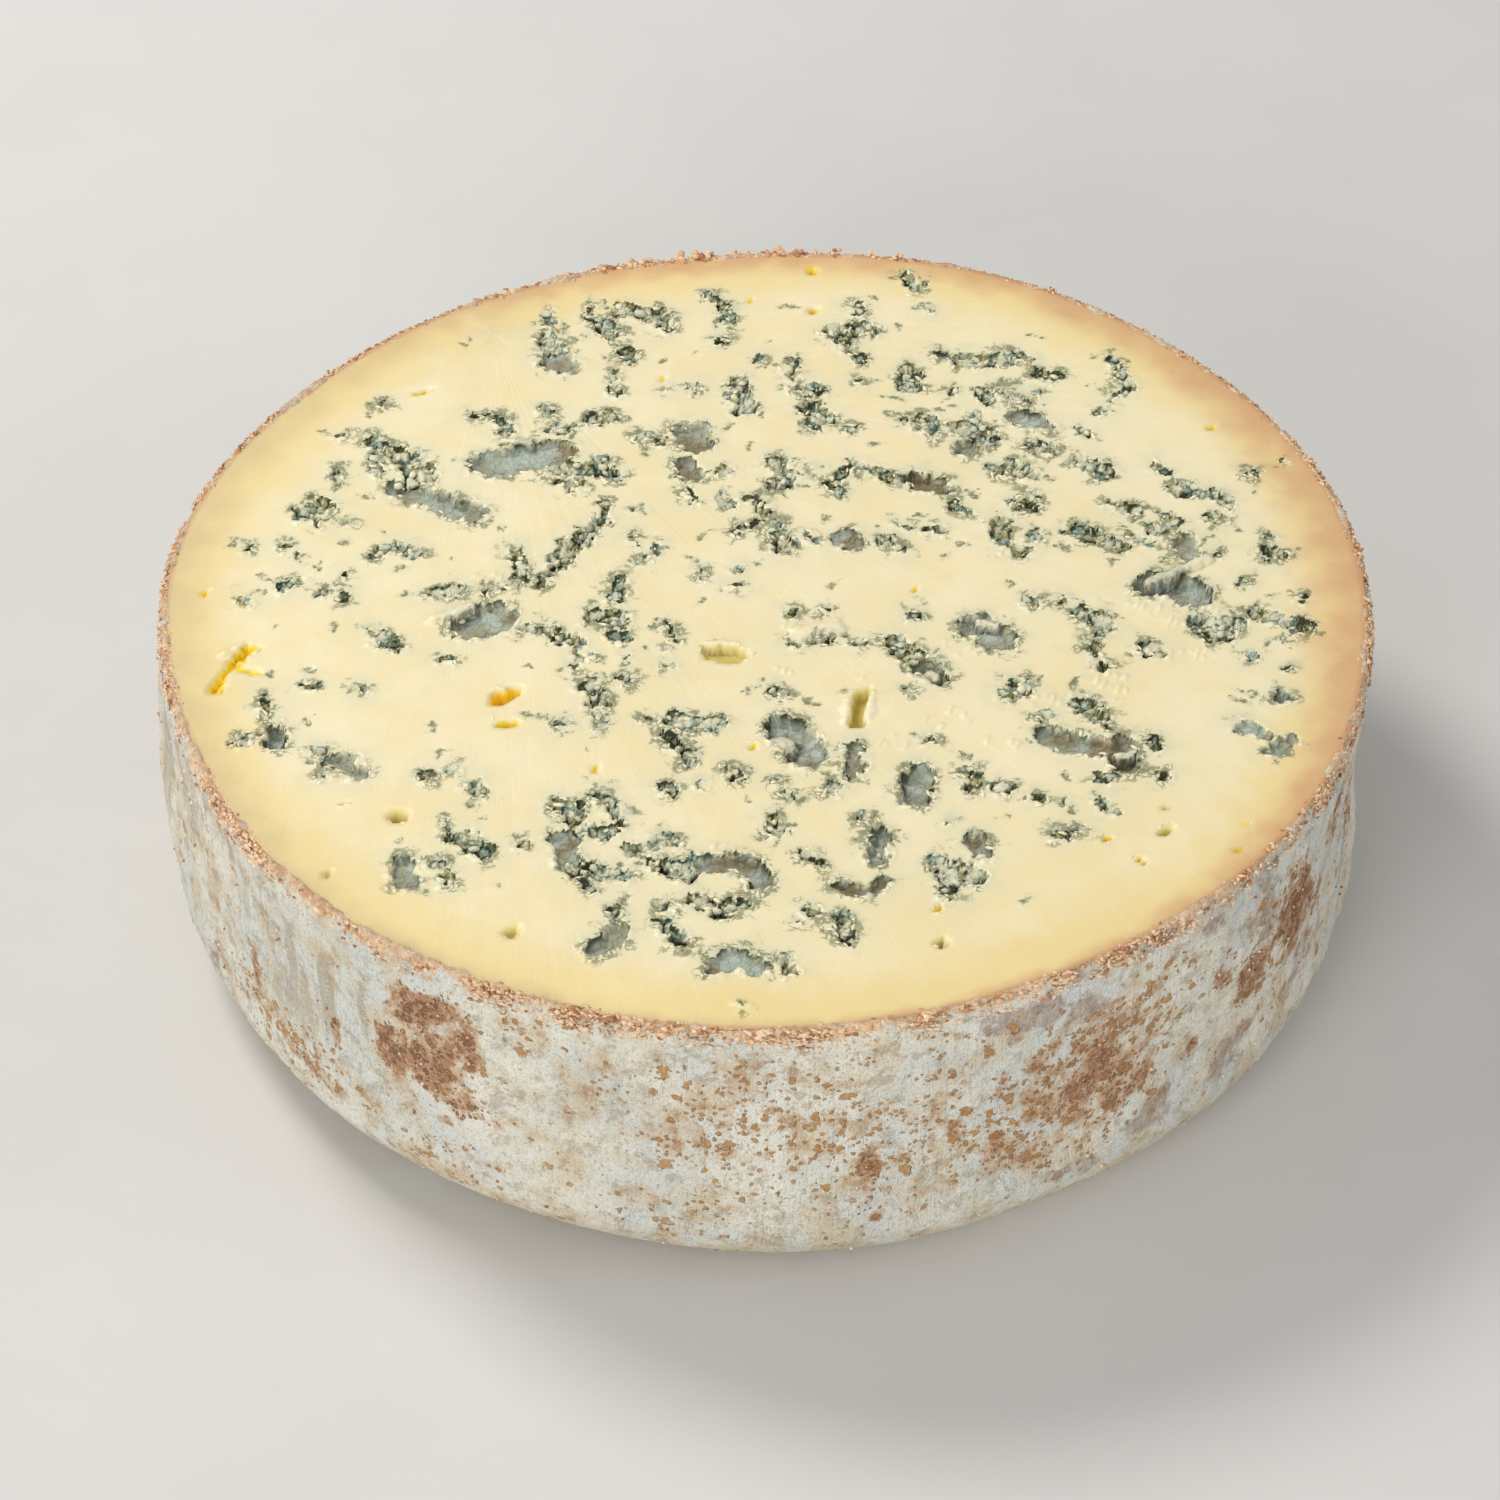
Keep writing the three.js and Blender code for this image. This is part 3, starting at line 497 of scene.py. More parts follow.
for width, *ends, below in CURLS:
    distance, _ = stroke_distance(*less_bent, (width, 0, *ends))
    reach = 1 - distance / (width / 2) + 0.25 * edge_noise
    part = np.clip(reach, 0, 1)
    rise = np.sqrt(1 - (1 - part) ** 2) * (CURL_RISE[0] + CURL_RISE[1] * width) + 0.06 * ripple_wave
    curl_top = np.where(part > 0.05, np.maximum(curl_top, rise - CURL_SINK - below), curl_top)
    curl_cover = np.maximum(curl_cover, smoothstep(part, 0.05, 0.3))
    # A band just outside each curl, where the material paints the curl's shadow.
    curl_shade_band = np.maximum(curl_shade_band, smoothstep(reach, -0.55, -0.15))
face_z = np.maximum(face_z, curl_top)
print("the deepest pocket is", round(float(-face_z.min()), 1), "mm deep")

# %% [markdown]
# ## From the height map to a mesh
#
# A lattice this fine would need over 400,000 triangles for the whole face. Cells of four lattice steps
# serve the plain paste instead. A cell is split in four, and again, where mould or the rim needs it, and no
# cell lies beside one more than twice its size. Where a cell has a smaller neighbour, it becomes a fan
# round its middle, so no gap opens. The Decimate modifier would be shorter, but it also thins the places
# that carry only colour.

# %% Choose the size of each cell
PASTE_EDGE = 1.1
angle_of = np.arctan2(grid_y, grid_x)
inset = rim_radius(angle_of) - np.hypot(grid_x, grid_y)


def merged(flags):
    """True for each block of two by two that holds a true."""
    count = len(flags) // 2
    return flags.reshape(count, 2, count, 2).any(axis=(1, 3))


def spread(flags):
    """True also for the eight neighbours of each true."""
    count = len(flags)
    padded = np.pad(flags, 1)
    shifted = [padded[i:i + count, j:j + count] for i, j in itertools.product(range(3), repeat=2)]
    return np.logical_or.reduce(shifted)


fine = (open_in > -0.3) & (sink + mould_in > 0.1)
fine |= (open_in > -0.7) & (lip > 0.12)
fine |= (ripple > 0.5) | (curl_cover > 0) | (specks.inside > -0.15)
fine |= np.abs(inset - PASTE_EDGE) < 2 * UNIT
fine &= inset > PASTE_EDGE - 2 * UNIT
medium = (open_in > -1.2) | (specks.inside > -0.6) | (inset < 4) | (curl_cover > 0)
split_small = merged(fine[:-1, :-1])
split_large = merged(spread(split_small) | merged(medium[:-1, :-1]))

# %% Build the triangles


def leaf_cells(size, keep):
    """Low corners of the kept cells of one size, in lattice steps."""
    i, j = np.nonzero(keep)
    i, j = i * size, j * size
    middle_inset = inset[i + size // 2, j + size // 2]
    inside = middle_inset > PASTE_EDGE
    return i[inside], j[inside]


def doubled(flags):
    return flags.repeat(2, axis=0).repeat(2, axis=1)


leaves = {
    4: leaf_cells(4, ~split_large),
    2: leaf_cells(2, doubled(split_large) & ~split_small),
    1: leaf_cells(1, doubled(split_small)),
}
present = np.zeros(shape, bool)
for size, (i, j) in leaves.items():
    for a, b in itertools.product((0, size), repeat=2):
        present[i + a, j + b] = True


def place(i, j):
    return i * shape[1] + j


def cell_triangles(size, i, j):
    """Two triangles for a plain cell, and a fan round the middle of one with smaller neighbours."""
    half = size // 2
    corners = [(i, j), (i + size, j), (i + size, j + size), (i, j + size)]
    if size == 1:
        c = [place(*corner) for corner in corners]
        return [np.stack([c[0], c[1], c[2]], 1), np.stack([c[0], c[2], c[3]], 1)]
    middles = [(i + half, j), (i + size, j + half), (i + half, j + size), (i, j + half)]
    has_middle = [present[m] for m in middles]
    fan = np.logical_or.reduce(has_middle)
    c = [place(*corner) for corner in corners]
    m = [place(*middle) for middle in middles]
    centre = place(i + half, j + half)
    made = [np.stack([c[0], c[1], c[2]], 1)[~fan], np.stack([c[0], c[2], c[3]], 1)[~fan]]
    for side in range(4):
        after = c[(side + 1) % 4]
        whole, cut = fan & ~has_middle[side], fan & has_middle[side]
        made.append(np.stack([c[side], after, centre], 1)[whole])
        made.append(np.stack([c[side], m[side], centre], 1)[cut])
        made.append(np.stack([m[side], after, centre], 1)[cut])
    return made


parts = [part for size, (i, j) in leaves.items() for part in cell_triangles(size, i, j)]
used, face_triangles = np.unique(np.concatenate(parts), return_inverse=True)
face_triangles = face_triangles.reshape(-1, 3)
print(len(used), "vertices and", len(face_triangles), "triangles on the cut face")

# %% [markdown]
# The face is only a skin. A solid slab is easier to trust, both for light that enters the paste and for
# whoever uses the mesh later, so the skin gets a skirt down inside the rind and a floor.

# %% Helpers that make meshes


def closed_down(points, triangles, depth_z):
    """Adds a skirt from the open edge down to a height, and a floor there."""
    edges = np.concatenate([triangles[:, [0, 1]], triangles[:, [1, 2]], triangles[:, [2, 0]]])
    codes = edges[:, 0] * len(points) + edges[:, 1]
    back_codes = edges[:, 1] * len(points) + edges[:, 0]
    rim_edges = edges[~np.isin(codes, back_codes)]
    rim, order = np.unique(rim_edges, return_inverse=True)
    order = order.reshape(-1, 2)
    below = points[rim].copy()
    below[:, 2] = depth_z
    middle = len(points) + len(rim)
    a, b = rim_edges.T
    low_a, low_b = (order + len(points)).T
    skirt = [np.stack([b, a, low_a], 1), np.stack([b, low_a, low_b], 1)]
    floor = np.stack([low_b, low_a, np.full(len(a), middle)], 1)
    points = np.concatenate([points, below, [[0, 0, depth_z]]])
    return points, np.concatenate([triangles, *skirt, floor])


def make_piece(name, points, triangles, values):
    """A piece from points in millimetres, with a number for each point under each name in values."""
    mesh = bpy.data.meshes.new(name)
    mesh.vertices.add(len(points))
    mesh.loops.add(3 * len(triangles))
    mesh.polygons.add(len(triangles))
    moved = (points - [*MIDDLE, 0]) * MM
    mesh.vertices.foreach_set("co", moved.astype(np.float32).ravel())
    mesh.loops.foreach_set("vertex_index", triangles.astype(np.int32).ravel())
    mesh.polygons.foreach_set("loop_start", np.arange(0, 3 * len(triangles), 3, dtype=np.int32))
    mesh.update(calc_edges=True)
    for label, numbers in values.items():
        layer = mesh.attributes.new(label, "FLOAT", "POINT")
        layer.data.foreach_set("value", np.asarray(numbers, dtype=np.float32))
    mesh.shade_smooth()
    piece = bpy.data.objects.new(name, mesh)
    bpy.context.scene.collection.objects.link(piece)
    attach(piece, "root")
    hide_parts(NODE)
    print(name, "has", len(triangles), "triangles")
    return piece


# %% [markdown]
# Each vertex also carries numbers that the material will read: how mouldy it is, how stained, how deep, how
# near the rind, and so on. Measured here, they line up exactly with the relief.

# %% Numbers for the paste
halo, mist = np.exp(-np.maximum(-mould_in, 0) / 1.7), np.exp(-np.maximum(-mould_in, 0) / 6)
# Torn paste on the lips, whiter also as painted highlight, most on the near lips.
fringe_and_highlight = lip_band * (0.3 + 0.7 * near_side) * (0.5 + 0.5 * lip_noise)
peach_width = 4.2 + 2.0 * (1 + np.sin(angle_of)) + 8.5 * np.maximum(0, np.cos(angle_of - 0.15)) ** 3
peach_width += 5.5 * np.maximum(0, -np.cos(angle_of)) ** 2
# A dark line along each vein's edge: partly the mould's own colour, partly painted shade on the pocket wall.
outline = smoothstep(mould_in, -0.25, 0.05) * smoothstep(mould_in, 0.75, 0.3)
face_values = {
    "mould": np.maximum(curdy.cover(), caves.cover()) * (1 - 0.8 * curl_cover),
    "speck": smoothstep(specks.inside, -0.6, 0.5),
    # crest: heights of the grain tops. The material paints them pale as light, and the creases between them
    # dark as shade.
    "crest": np.clip(0.75 * grain_big + 0.3 * grain_small, 0, 1),
    # gap: the deep gap under the near lip, painted nearly black as shade.
    "gap": gap_and_shade_band * (1 - curl_cover),
    "outline": outline * np.clip(0.6 + patchy, 0, 1),
    "halo": halo * np.clip(0.6 + 0.55 * patchy, 0.1, 1.2),
    "haze": halo * (0.35 + 0.65 * (1 - near_side)) * np.clip(0.55 + 0.8 * patchy, 0, 1.2),
    "mist": mist,
    # Also painted highlight on the ripple crests and on the raised curls.
    "fringe_and_highlight": np.clip(fringe_and_highlight + 0.8 * ripple * ripple_wave + 0.45 * curl_cover, 0, 1),
    "deep": np.clip(sink / 2.5, 0, 1),
    "cave": smoothstep(caves.inside, 0.1, 0.7),
    "golden": golden.cover() * (1 - curl_cover),
    "olive": olive.cover() * (1 - curl_cover),
    "curl": curl_cover * smoothstep(mould_in, -2.5, -0.3),
    # Painted shadow beside each raised curl.
    "curl_side_shade": curl_shade_band * (1 - curl_cover) * smoothstep(mould_in, -1.2, 0.3),
    "straw": smoothstep(inset + 3 * patchy, 17, 5),
    "left": smoothstep(-np.cos(angle_of - 0.3), -0.1, 0.7),
    "dry": np.clip(1 - inset / peach_width + 0.22 * patchy, 0, 1),
    "edge": smoothstep(inset, 3.0, 1.1),
}
points = np.stack([grid_x.ravel(), grid_y.ravel(), FACE_HEIGHT + face_z.ravel()], axis=1)[used]
SLAB_DEPTH = 7.0
points, triangles = closed_down(points, face_triangles, FACE_HEIGHT - SLAB_DEPTH)
hidden = np.zeros(len(points) - len(used))
values = {name: np.concatenate([numbers.ravel()[used], hidden]) for name, numbers in face_values.items()}
paste = make_piece("paste", points, triangles, values)

# %% [markdown]
# ## Grains, fringe and crumbs
#
# Grains of mould, the torn fringe of the paste and the crumbs of the crust are all the same thing at
# different sizes: little dented lumps. Each is a ball of twenty faces, turned, squashed and dented its own
# way. A particle system would be quicker to set up, but it isn't a mesh, so each kind is joined into one
# mesh from arrays.

# %% Scatter lumps as one mesh
GOLDEN_RATIO = (1 + math.sqrt(5)) / 2


def unit_lump():
    """The corners and faces of a regular solid of twenty faces, with a radius of 1."""
    corners = []
    for a, b in itertools.product((-1, 1), (-GOLDEN_RATIO, GOLDEN_RATIO)):
        corners += [(0, a, b), (a, b, 0), (b, 0, a)]
    corners = np.array(corners) / math.hypot(1, GOLDEN_RATIO)
    faces = []
    for trio in itertools.combinations(range(12), 3):
        p, q, r = corners[list(trio)]
        if max(np.linalg.norm(p - q), np.linalg.norm(q - r), np.linalg.norm(p - r)) < 1.1:
            outward = np.dot(np.cross(q - p, r - p), p + q + r) > 0
            faces.append(trio if outward else trio[::-1])
    return corners, np.array(faces)


LUMP_CORNERS, LUMP_FACES = unit_lump()


def turned_about(spin):
    """Turning matrices from quaternions."""
    w, x, y, z = (spin / np.linalg.norm(spin, axis=1)[:, None]).T
    return np.array([
        [1 - 2 * (y * y + z * z), 2 * (x * y - z * w), 2 * (x * z + y * w)],
        [2 * (x * y + z * w), 1 - 2 * (x * x + z * z), 2 * (y * z - x * w)],
        [2 * (x * z - y * w), 2 * (y * z + x * w), 1 - 2 * (x * x + y * y)],
    ]).transpose(2, 0, 1)


def lumps(centres, sizes, draw, dent=0.3, flatten=0.3, along=None, stretch=1.0):
    """Lumps round each centre, stretched along a heading in the plane if one is given. Also how high on its
    lump each corner is, from 0 to 1."""
    count = len(centres)
    dents = 1 + dent * draw.uniform(-1, 1, (count, 12, 1))
    squash = 1 - flatten * draw.random((count, 1, 3))
    turns = turned_about(draw.normal(size=(count, 4)))
    shapes = np.einsum("nij,nkj->nki", turns, LUMP_CORNERS * dents * squash)
    if along is not None:
        x = shapes[..., 0] * stretch
        y = shapes[..., 1]
        cos, sin = np.cos(along)[:, None], np.sin(along)[:, None]
        shapes[..., 0], shapes[..., 1] = x * cos - y * sin, x * sin + y * cos
    height = np.clip(0.5 + 0.5 * shapes[..., 2], 0, 1)
    points = centres[:, None] + shapes * sizes[:, None, None]
    faces = LUMP_FACES[None] + 12 * np.arange(count)[:, None, None]
    return points.reshape(-1, 3), faces.reshape(-1, 3), height.ravel()


def jittered(spacing, draw):
    """Places over the whole face, one in each square of a lattice."""
    steps = np.arange(-WHEEL_RADIUS, WHEEL_RADIUS, spacing)
    x, y = (side.ravel() for side in np.meshgrid(steps, steps))
    return x + spacing * draw.uniform(-0.45, 0.45, x.size), y + spacing * draw.uniform(-0.45, 0.45, y.size)


def look_up(field, x, y):
    """A field's value at the lattice place nearest each point."""
    i = np.clip(np.rint(x / UNIT).astype(int) + HALF_CELLS, 0, shape[0] - 1)
    j = np.clip(np.rint(y / UNIT).astype(int) + HALF_CELLS, 0, shape[1] - 1)
    return field[i, j]


# %% Grains of mouldy curd


def grain_places(spacing, low, high, share, draw):
    """Places and sizes of grains that lie in the veins, thinner in the middle of a cave."""
    x, y = jittered(spacing, draw)
    sunk = look_up(curd_sink, x, y)
    cave_edge = look_up(smoothstep(caves.inside, 0.05, 0.3) * smoothstep(caves.inside, 1.3, 0.7), x, y)
    keep = (sunk > 0.25) & (look_up(caves.inside, x, y) < 0.2) & (look_up(gap_and_shade_band, x, y) < 0.5)
    keep |= (cave_edge > 0.5) & (draw.random(x.size) < 0.16)
    keep &= (draw.random(x.size) < share) & (look_up(curl_cover, x, y) < 0.2)
    x, y = x[keep], y[keep]
    depth = look_up(sink, x, y)
    size = (low + (high - low) * draw.random(x.size) ** 1.6) * np.clip(0.6 + 0.35 * depth, 0.6, 1.1)
    lift = size * draw.uniform(-0.1, 0.6, x.size)
    z = FACE_HEIGHT + look_up(face_z, x, y) + lift + 0.2 * depth * draw.random(x.size)
    z = np.minimum(z, FACE_HEIGHT - 0.45 * size)
    return np.stack([x, y, z], axis=1), size


def joined(*groups):
    """Several groups of points, faces and numbers as one."""
    start = np.cumsum([0] + [len(points) for points, _, _ in groups[:-1]])
    faces = np.concatenate([faces + first for (_, faces, _), first in zip(groups, start)])
    return np.concatenate([g[0] for g in groups]), faces, np.concatenate([g[2] for g in groups])


draw = np.random.default_rng(51)
big_places, big_sizes = grain_places(spacing=1.5, low=0.45, high=1.1, share=0.45, draw=draw)
small_places, small_sizes = grain_places(spacing=1.2, low=0.18, high=0.4, share=0.3, draw=draw)
headings = draw.uniform(0, np.pi, len(big_places))
points, faces, tops = joined(
    lumps(big_places, big_sizes, draw, 0.25, 0.5, headings, 1.45),
    lumps(small_places, small_sizes, draw, 0.3, 0.4))
tone = np.repeat(draw.random(len(points) // 12), 12)
sunk = look_up(sink, points[:, 0], points[:, 1])
# How deep a grain lies. The material paints deeper grains darker as shade.
buried = np.clip((FACE_HEIGHT - points[:, 2]) / np.maximum(sunk, 0.4), 0, 1)
values = {"tone": tone, "top": tops, "buried": buried}
grains = make_piece("mould_grains", points, faces, values)

# %% Torn fringe of the paste
FRINGE_SPACING, FRINGE_SIZES, FRINGE_SHARE = 0.6, (0.2, 0.42), 0.32


def fringe_places(draw):
    """Places, sizes and headings of the torn bits that lie along the lips of the veins."""
    x, y = jittered(FRINGE_SPACING, draw)
    out = -look_up(open_in, x, y)
    chance = (0.15 + 0.85 * look_up(near_side, x, y)) * np.exp(-(((out - 0.15) / 0.35) ** 2))
    keep = (out > -0.2) & (out < 0.8) & (draw.random(x.size) < FRINGE_SHARE * chance)
    keep &= (look_up(inset, x, y) > 4) & (look_up(clean_in, x, y) < -0.3)
    x, y = x[keep], y[keep]
    slope_x, slope_y = np.gradient(open_in)
    heading = np.arctan2(look_up(slope_y, x, y), look_up(slope_x, x, y)) + np.pi / 2
    size = draw.uniform(*FRINGE_SIZES, x.size)
    z = FACE_HEIGHT + np.maximum(look_up(face_z, x, y), -0.3) - 0.45 * size
    return np.stack([x, y, z], axis=1), size, heading + draw.normal(0, 0.4, x.size)


draw = np.random.default_rng(61)
places, sizes, headings = fringe_places(draw)
points, faces, tops = lumps(places, sizes, draw, 0.2, 0.4, headings, 2.8)
fringe_bits = make_piece("torn_fringe", points, faces, {"top": tops})

# %% [markdown]
# ## The rind
#
# The rind is one skin over the side, the rounded foot and the underside, with a rough lip that stands a
# little above the paste and folds down inside it. It is a lathe form, rings of points swept round, and each
# point is then pushed out or in by random fields: long swells, powdery lumps, and fine grains.

# %% The section that the rind sweeps
RING_STEP = 0.8
RING_POINTS = 780
LIP_TOP = 0.12


def rind_section():
    """Inset from the rim and height of each ring, from the underside's middle out, up and over the lip."""
    underside = [(WHEEL_RADIUS - radius, 0.0) for radius in (14, 30, 44, 56, 66, 73, 78, 81.5, 84)]
    quarter = np.arange(0, np.pi / 2, RING_STEP / FOOT_ROUNDING)
    foot = [(FOOT_ROUNDING * (1 - math.sin(a)), FOOT_ROUNDING * (1 - math.cos(a))) for a in quarter]
    side = [(0.0, height) for height in np.arange(FOOT_ROUNDING, FACE_HEIGHT - 1.6, RING_STEP)]
    lip = [(0.1, FACE_HEIGHT - 1.2), (0.3, FACE_HEIGHT - 0.6), (0.6, FACE_HEIGHT - 0.15),
           (0.95, FACE_HEIGHT + LIP_TOP), (1.3, FACE_HEIGHT + LIP_TOP), (1.7, FACE_HEIGHT - 0.1),
           (2.3, FACE_HEIGHT - 0.45), (3.2, FACE_HEIGHT - 0.9)]
    inner = [(4.5, FACE_HEIGHT - 3), (6.0, FACE_HEIGHT - SLAB_DEPTH - 0.5)]
    return np.array(underside + foot + side + lip + inner)


section = rind_section()
ring_angle = np.linspace(0, 2 * np.pi, RING_POINTS, endpoint=False)
ring_inset, ring_angles = np.meshgrid(section[:, 0], ring_angle, indexing="ij")
ring_height = np.repeat(section[:, 1], RING_POINTS).reshape(ring_inset.shape)
ring_radius = rim_radius(ring_angles) - ring_inset + side_relief(ring_angles, ring_height)

# %% Directions in which the rind is pushed
slope = np.gradient(section, axis=0)
slope /= np.linalg.norm(slope, axis=1)[:, None]
out_of_side = np.repeat(slope[:, 1], RING_POINTS)
up_from_side = np.repeat(slope[:, 0], RING_POINTS)
angles, heights, insets = ring_angles.ravel(), ring_height.ravel(), ring_inset.ravel()
side_points = round_wheel(angles, ring_radius.ravel(), heights)

# %% Relief of the rind
skin = Field(21)
on_side = smoothstep(insets, 16, 12)
near_lip = smoothstep(heights, FACE_HEIGHT - 4.5, FACE_HEIGHT - 1.5)
powder = skin.grains(side_points, 2.1)
fine_powder = skin.grains(side_points + 40, 1.1)
crumble = Field(22).grains(side_points, 2.4)
streak_points = np.stack([angles * WHEEL_RADIUS, heights * 0.12, 0 * angles], axis=1)
streaks = skin.layered(streak_points, 3.2, 3)
relief = 0.35 * skin.layered(side_points, 11, 3) + 0.22 * (powder - 0.4) + 0.12 * (fine_powder - 0.4)
relief += 0.16 * streaks * (1 - near_lip)
relief += near_lip * (0.35 * (crumble - 0.5) + 0.4 * skin.layered(side_points + 70, 5, 3, 0.6))
relief *= np.where(insets > 5.5, 0.25, 1)
lift = -relief * up_from_side * np.where(heights > FACE_HEIGHT / 2, -1, 1)
pushed = side_points + round_wheel(angles, relief * out_of_side, lift)
foot_level = pushed[:, 2].min()
pushed[:, 2] = np.maximum(pushed[:, 2], 0.0)
print("the foot was trimmed level by", round(float(-foot_level), 2), "mm")

# %% Build the rind
rows = len(section)
i, j = np.meshgrid(np.arange(rows - 1), np.arange(RING_POINTS), indexing="ij")
i, j = i.ravel(), j.ravel()
low_left, low_right = i * RING_POINTS + j, i * RING_POINTS + (j + 1) % RING_POINTS
high_left, high_right = low_left + RING_POINTS, low_right + RING_POINTS
triangles = [np.stack([low_left, low_right, high_right], 1), np.stack([low_left, high_right, high_left], 1)]
under_middle, inner_middle = rows * RING_POINTS, rows * RING_POINTS + 1
ring = np.arange(RING_POINTS)
after = (ring + 1) % RING_POINTS
top_row = (rows - 1) * RING_POINTS
triangles.append(np.stack([after, ring, np.full(RING_POINTS, under_middle)], 1))
triangles.append(np.stack([top_row + ring, top_row + after, np.full(RING_POINTS, inner_middle)], 1))
points = np.concatenate([pushed, [[0, 0, 0], [0, 0, section[-1, 1]]]])

# %% [markdown]
# The rind's colours also come from fields that are measured here. Its ground is a pale bloom, and over it
# lie patches, each placed by its angle round the wheel and its height: rust brown, orange, grey streaks and
# lilac.

# %% Patches of the rind
BROWN = (
    (238, 47, 4.5, 4, 1), (242.5, 43, 2.5, 5, 1), (235.5, 44, 3, 3, 0.8), (234.5, 34, 3.5, 5, 0.9),
    (238, 33, 4, 6, 1), (242.5, 28, 4, 3.5, 0.8), (240, 38, 3, 5, 0.9), (215, 31, 2.2, 5, 0.9),
    (227, 30, 1.2, 3.5, 0.9), (221.5, 18, 3, 2, 0.6), (279, 25, 1.6, 7, 0.6), (279, 17, 3, 3, 0.6),
    (287, 34, 5, 5, 0.4), (296, 36, 9, 8, 0.45), (305, 30, 6, 6, 0.45), (262, 34, 5, 3, 0.35),
    (270, 38, 6, 3, 0.35), (256, 44, 4, 3, 0.3), (285, 44, 5, 3, 0.3), (292, 22, 5, 4, 0.4),
    (303, 42, 6, 5, 0.5), (313, 26, 1.6, 1.8, 1), (328, 38, 6, 10, 0.95), (321, 32, 4, 6, 0.8),
    (317, 40, 3, 6, 0.6), (302, 29, 9, 8, 0.6), (332, 30, 5, 8, 0.5), (338, 44, 4, 7, 0.7),
    (345, 36, 5, 9, 0.6), (30, 36, 14, 9, 0.5), (62, 24, 10, 10, 0.6), (84, 42, 7, 6, 0.7),
    (118, 30, 12, 9, 0.6), (150, 22, 8, 8, 0.6), (168, 41, 8, 7, 0.7), (8, 30, 8, 9, 0.6),
    (352, 46, 6, 5, 0.6),
)
LILAC = (
    (294, 50, 8, 4, 1), (300, 47, 6, 3, 0.8), (308, 17, 5, 3.5, 1), (318, 18, 6, 4, 0.8),
    (240, 40, 7, 10, 0.5), (324, 40, 7, 10, 0.6), (331, 24, 6, 6, 0.8), (271, 49, 7, 3, 0.4),
    (314, 50, 3, 3, 0.7), (15, 40, 10, 10, 0.7), (75, 44, 12, 8, 0.6), (130, 40, 12, 9, 0.6),
    (110, 14, 8, 6, 0.8), (342, 30, 5, 8, 0.6), (300, 12, 5, 3, 0.7), (205, 16, 6, 5, 0.5),
    (322, 52, 4, 3, 0.7),
)
GREY = (
    (214.5, 43, 1.6, 5, 0.4), (218.5, 42, 1.2, 5, 0.4), (221.7, 41, 1.6, 6, 0.9), (226.4, 37, 1.6, 9, 0.9),
    (231, 39, 0.9, 6, 0.7), (200, 44, 9, 9, 0.4), (255, 40, 5, 9, 0.3), (222, 30, 7, 8, 0.45),
    (45, 30, 3, 14, 0.7), (52, 36, 2, 12, 0.7), (97, 30, 2, 13, 0.7), (103, 34, 2.5, 12, 0.7),
    (140, 30, 3, 14, 0.6), (160, 26, 2, 12, 0.7), (190, 40, 5, 12, 0.6),
)
SPECKLED = (
    (272, 33, 20, 12, 0.6), (280, 30, 9, 9, 0.8), (297, 25, 22, 10, 0.75), (302, 36, 14, 9, 0.8),
    (219, 20, 20, 6, 0.75), (267, 46, 14, 5, 0.5), (310, 42, 10, 8, 0.35), (250, 50, 8, 4, 0.3),
    (240, 15, 9, 5, 0.5), (240, 38, 8, 12, 0.7), (288, 50, 22, 3, 0.35), (20, 24, 26, 12, 0.6),
    (90, 30, 26, 12, 0.6), (135, 18, 20, 8, 0.6), (175, 30, 12, 14, 0.5), (262, 14, 12, 4, 0.35),
    (325, 34, 10, 12, 0.6),
)


def patch_field(patches, ragged=0.0):
    """The strongest of a group of round patches at each point, with edges bent by a field."""
    strongest = np.zeros(len(side_points))
    bend = ragged * Field(31).layered(side_points, 5, 4, 0.6)
    for degrees, height, half_width, half_height, strength in patches:
        across = (np.degrees(angles) - degrees + 180) % 360 - 180
        across = np.radians(across) * WHEEL_RADIUS / half_width
        spread_here = np.hypot(across, (heights - height) / half_height) + bend
        strongest = np.maximum(strongest, strength * smoothstep(spread_here, 1.4, 0.5))
    return strongest * on_side


crust_line = FACE_HEIGHT - 0.7 + 1.4 * skin.layered(side_points * [1, 1, 0], 7, 4, 0.65)
rind_values = {
    "brown": patch_field(BROWN, 0.5),
    "lilac": patch_field(LILAC, 0.5),
    "grey": patch_field(GREY, 0.25),
    "speckled": patch_field(SPECKLED, 0.4),
    "crust": smoothstep(heights - crust_line, -1.6, 0.9),
    "low": smoothstep(heights, 16, 3),
}
values = {name: np.concatenate([numbers, [0, 0]]) for name, numbers in rind_values.items()}
rind = make_piece("rind", points, np.concatenate(triangles), values)

# %% [markdown]
# Where the knife left the wheel, the dry crust broke into crumbs. They lie thick on the shoulder between
# the face and the side, and a few cling to the side and the foot, where they break up the outline.

# %% Crumbs of crust along the rim
CRUST_CRUMBS, SIDE_CRUMBS = 6000, 1500
CRUST_SIZES, SIDE_SIZES = (0.16, 0.4), (0.12, 0.4)
TORN_EDGE, TORN_SPREAD = 1.83, 0.3
draw = np.random.default_rng(41)


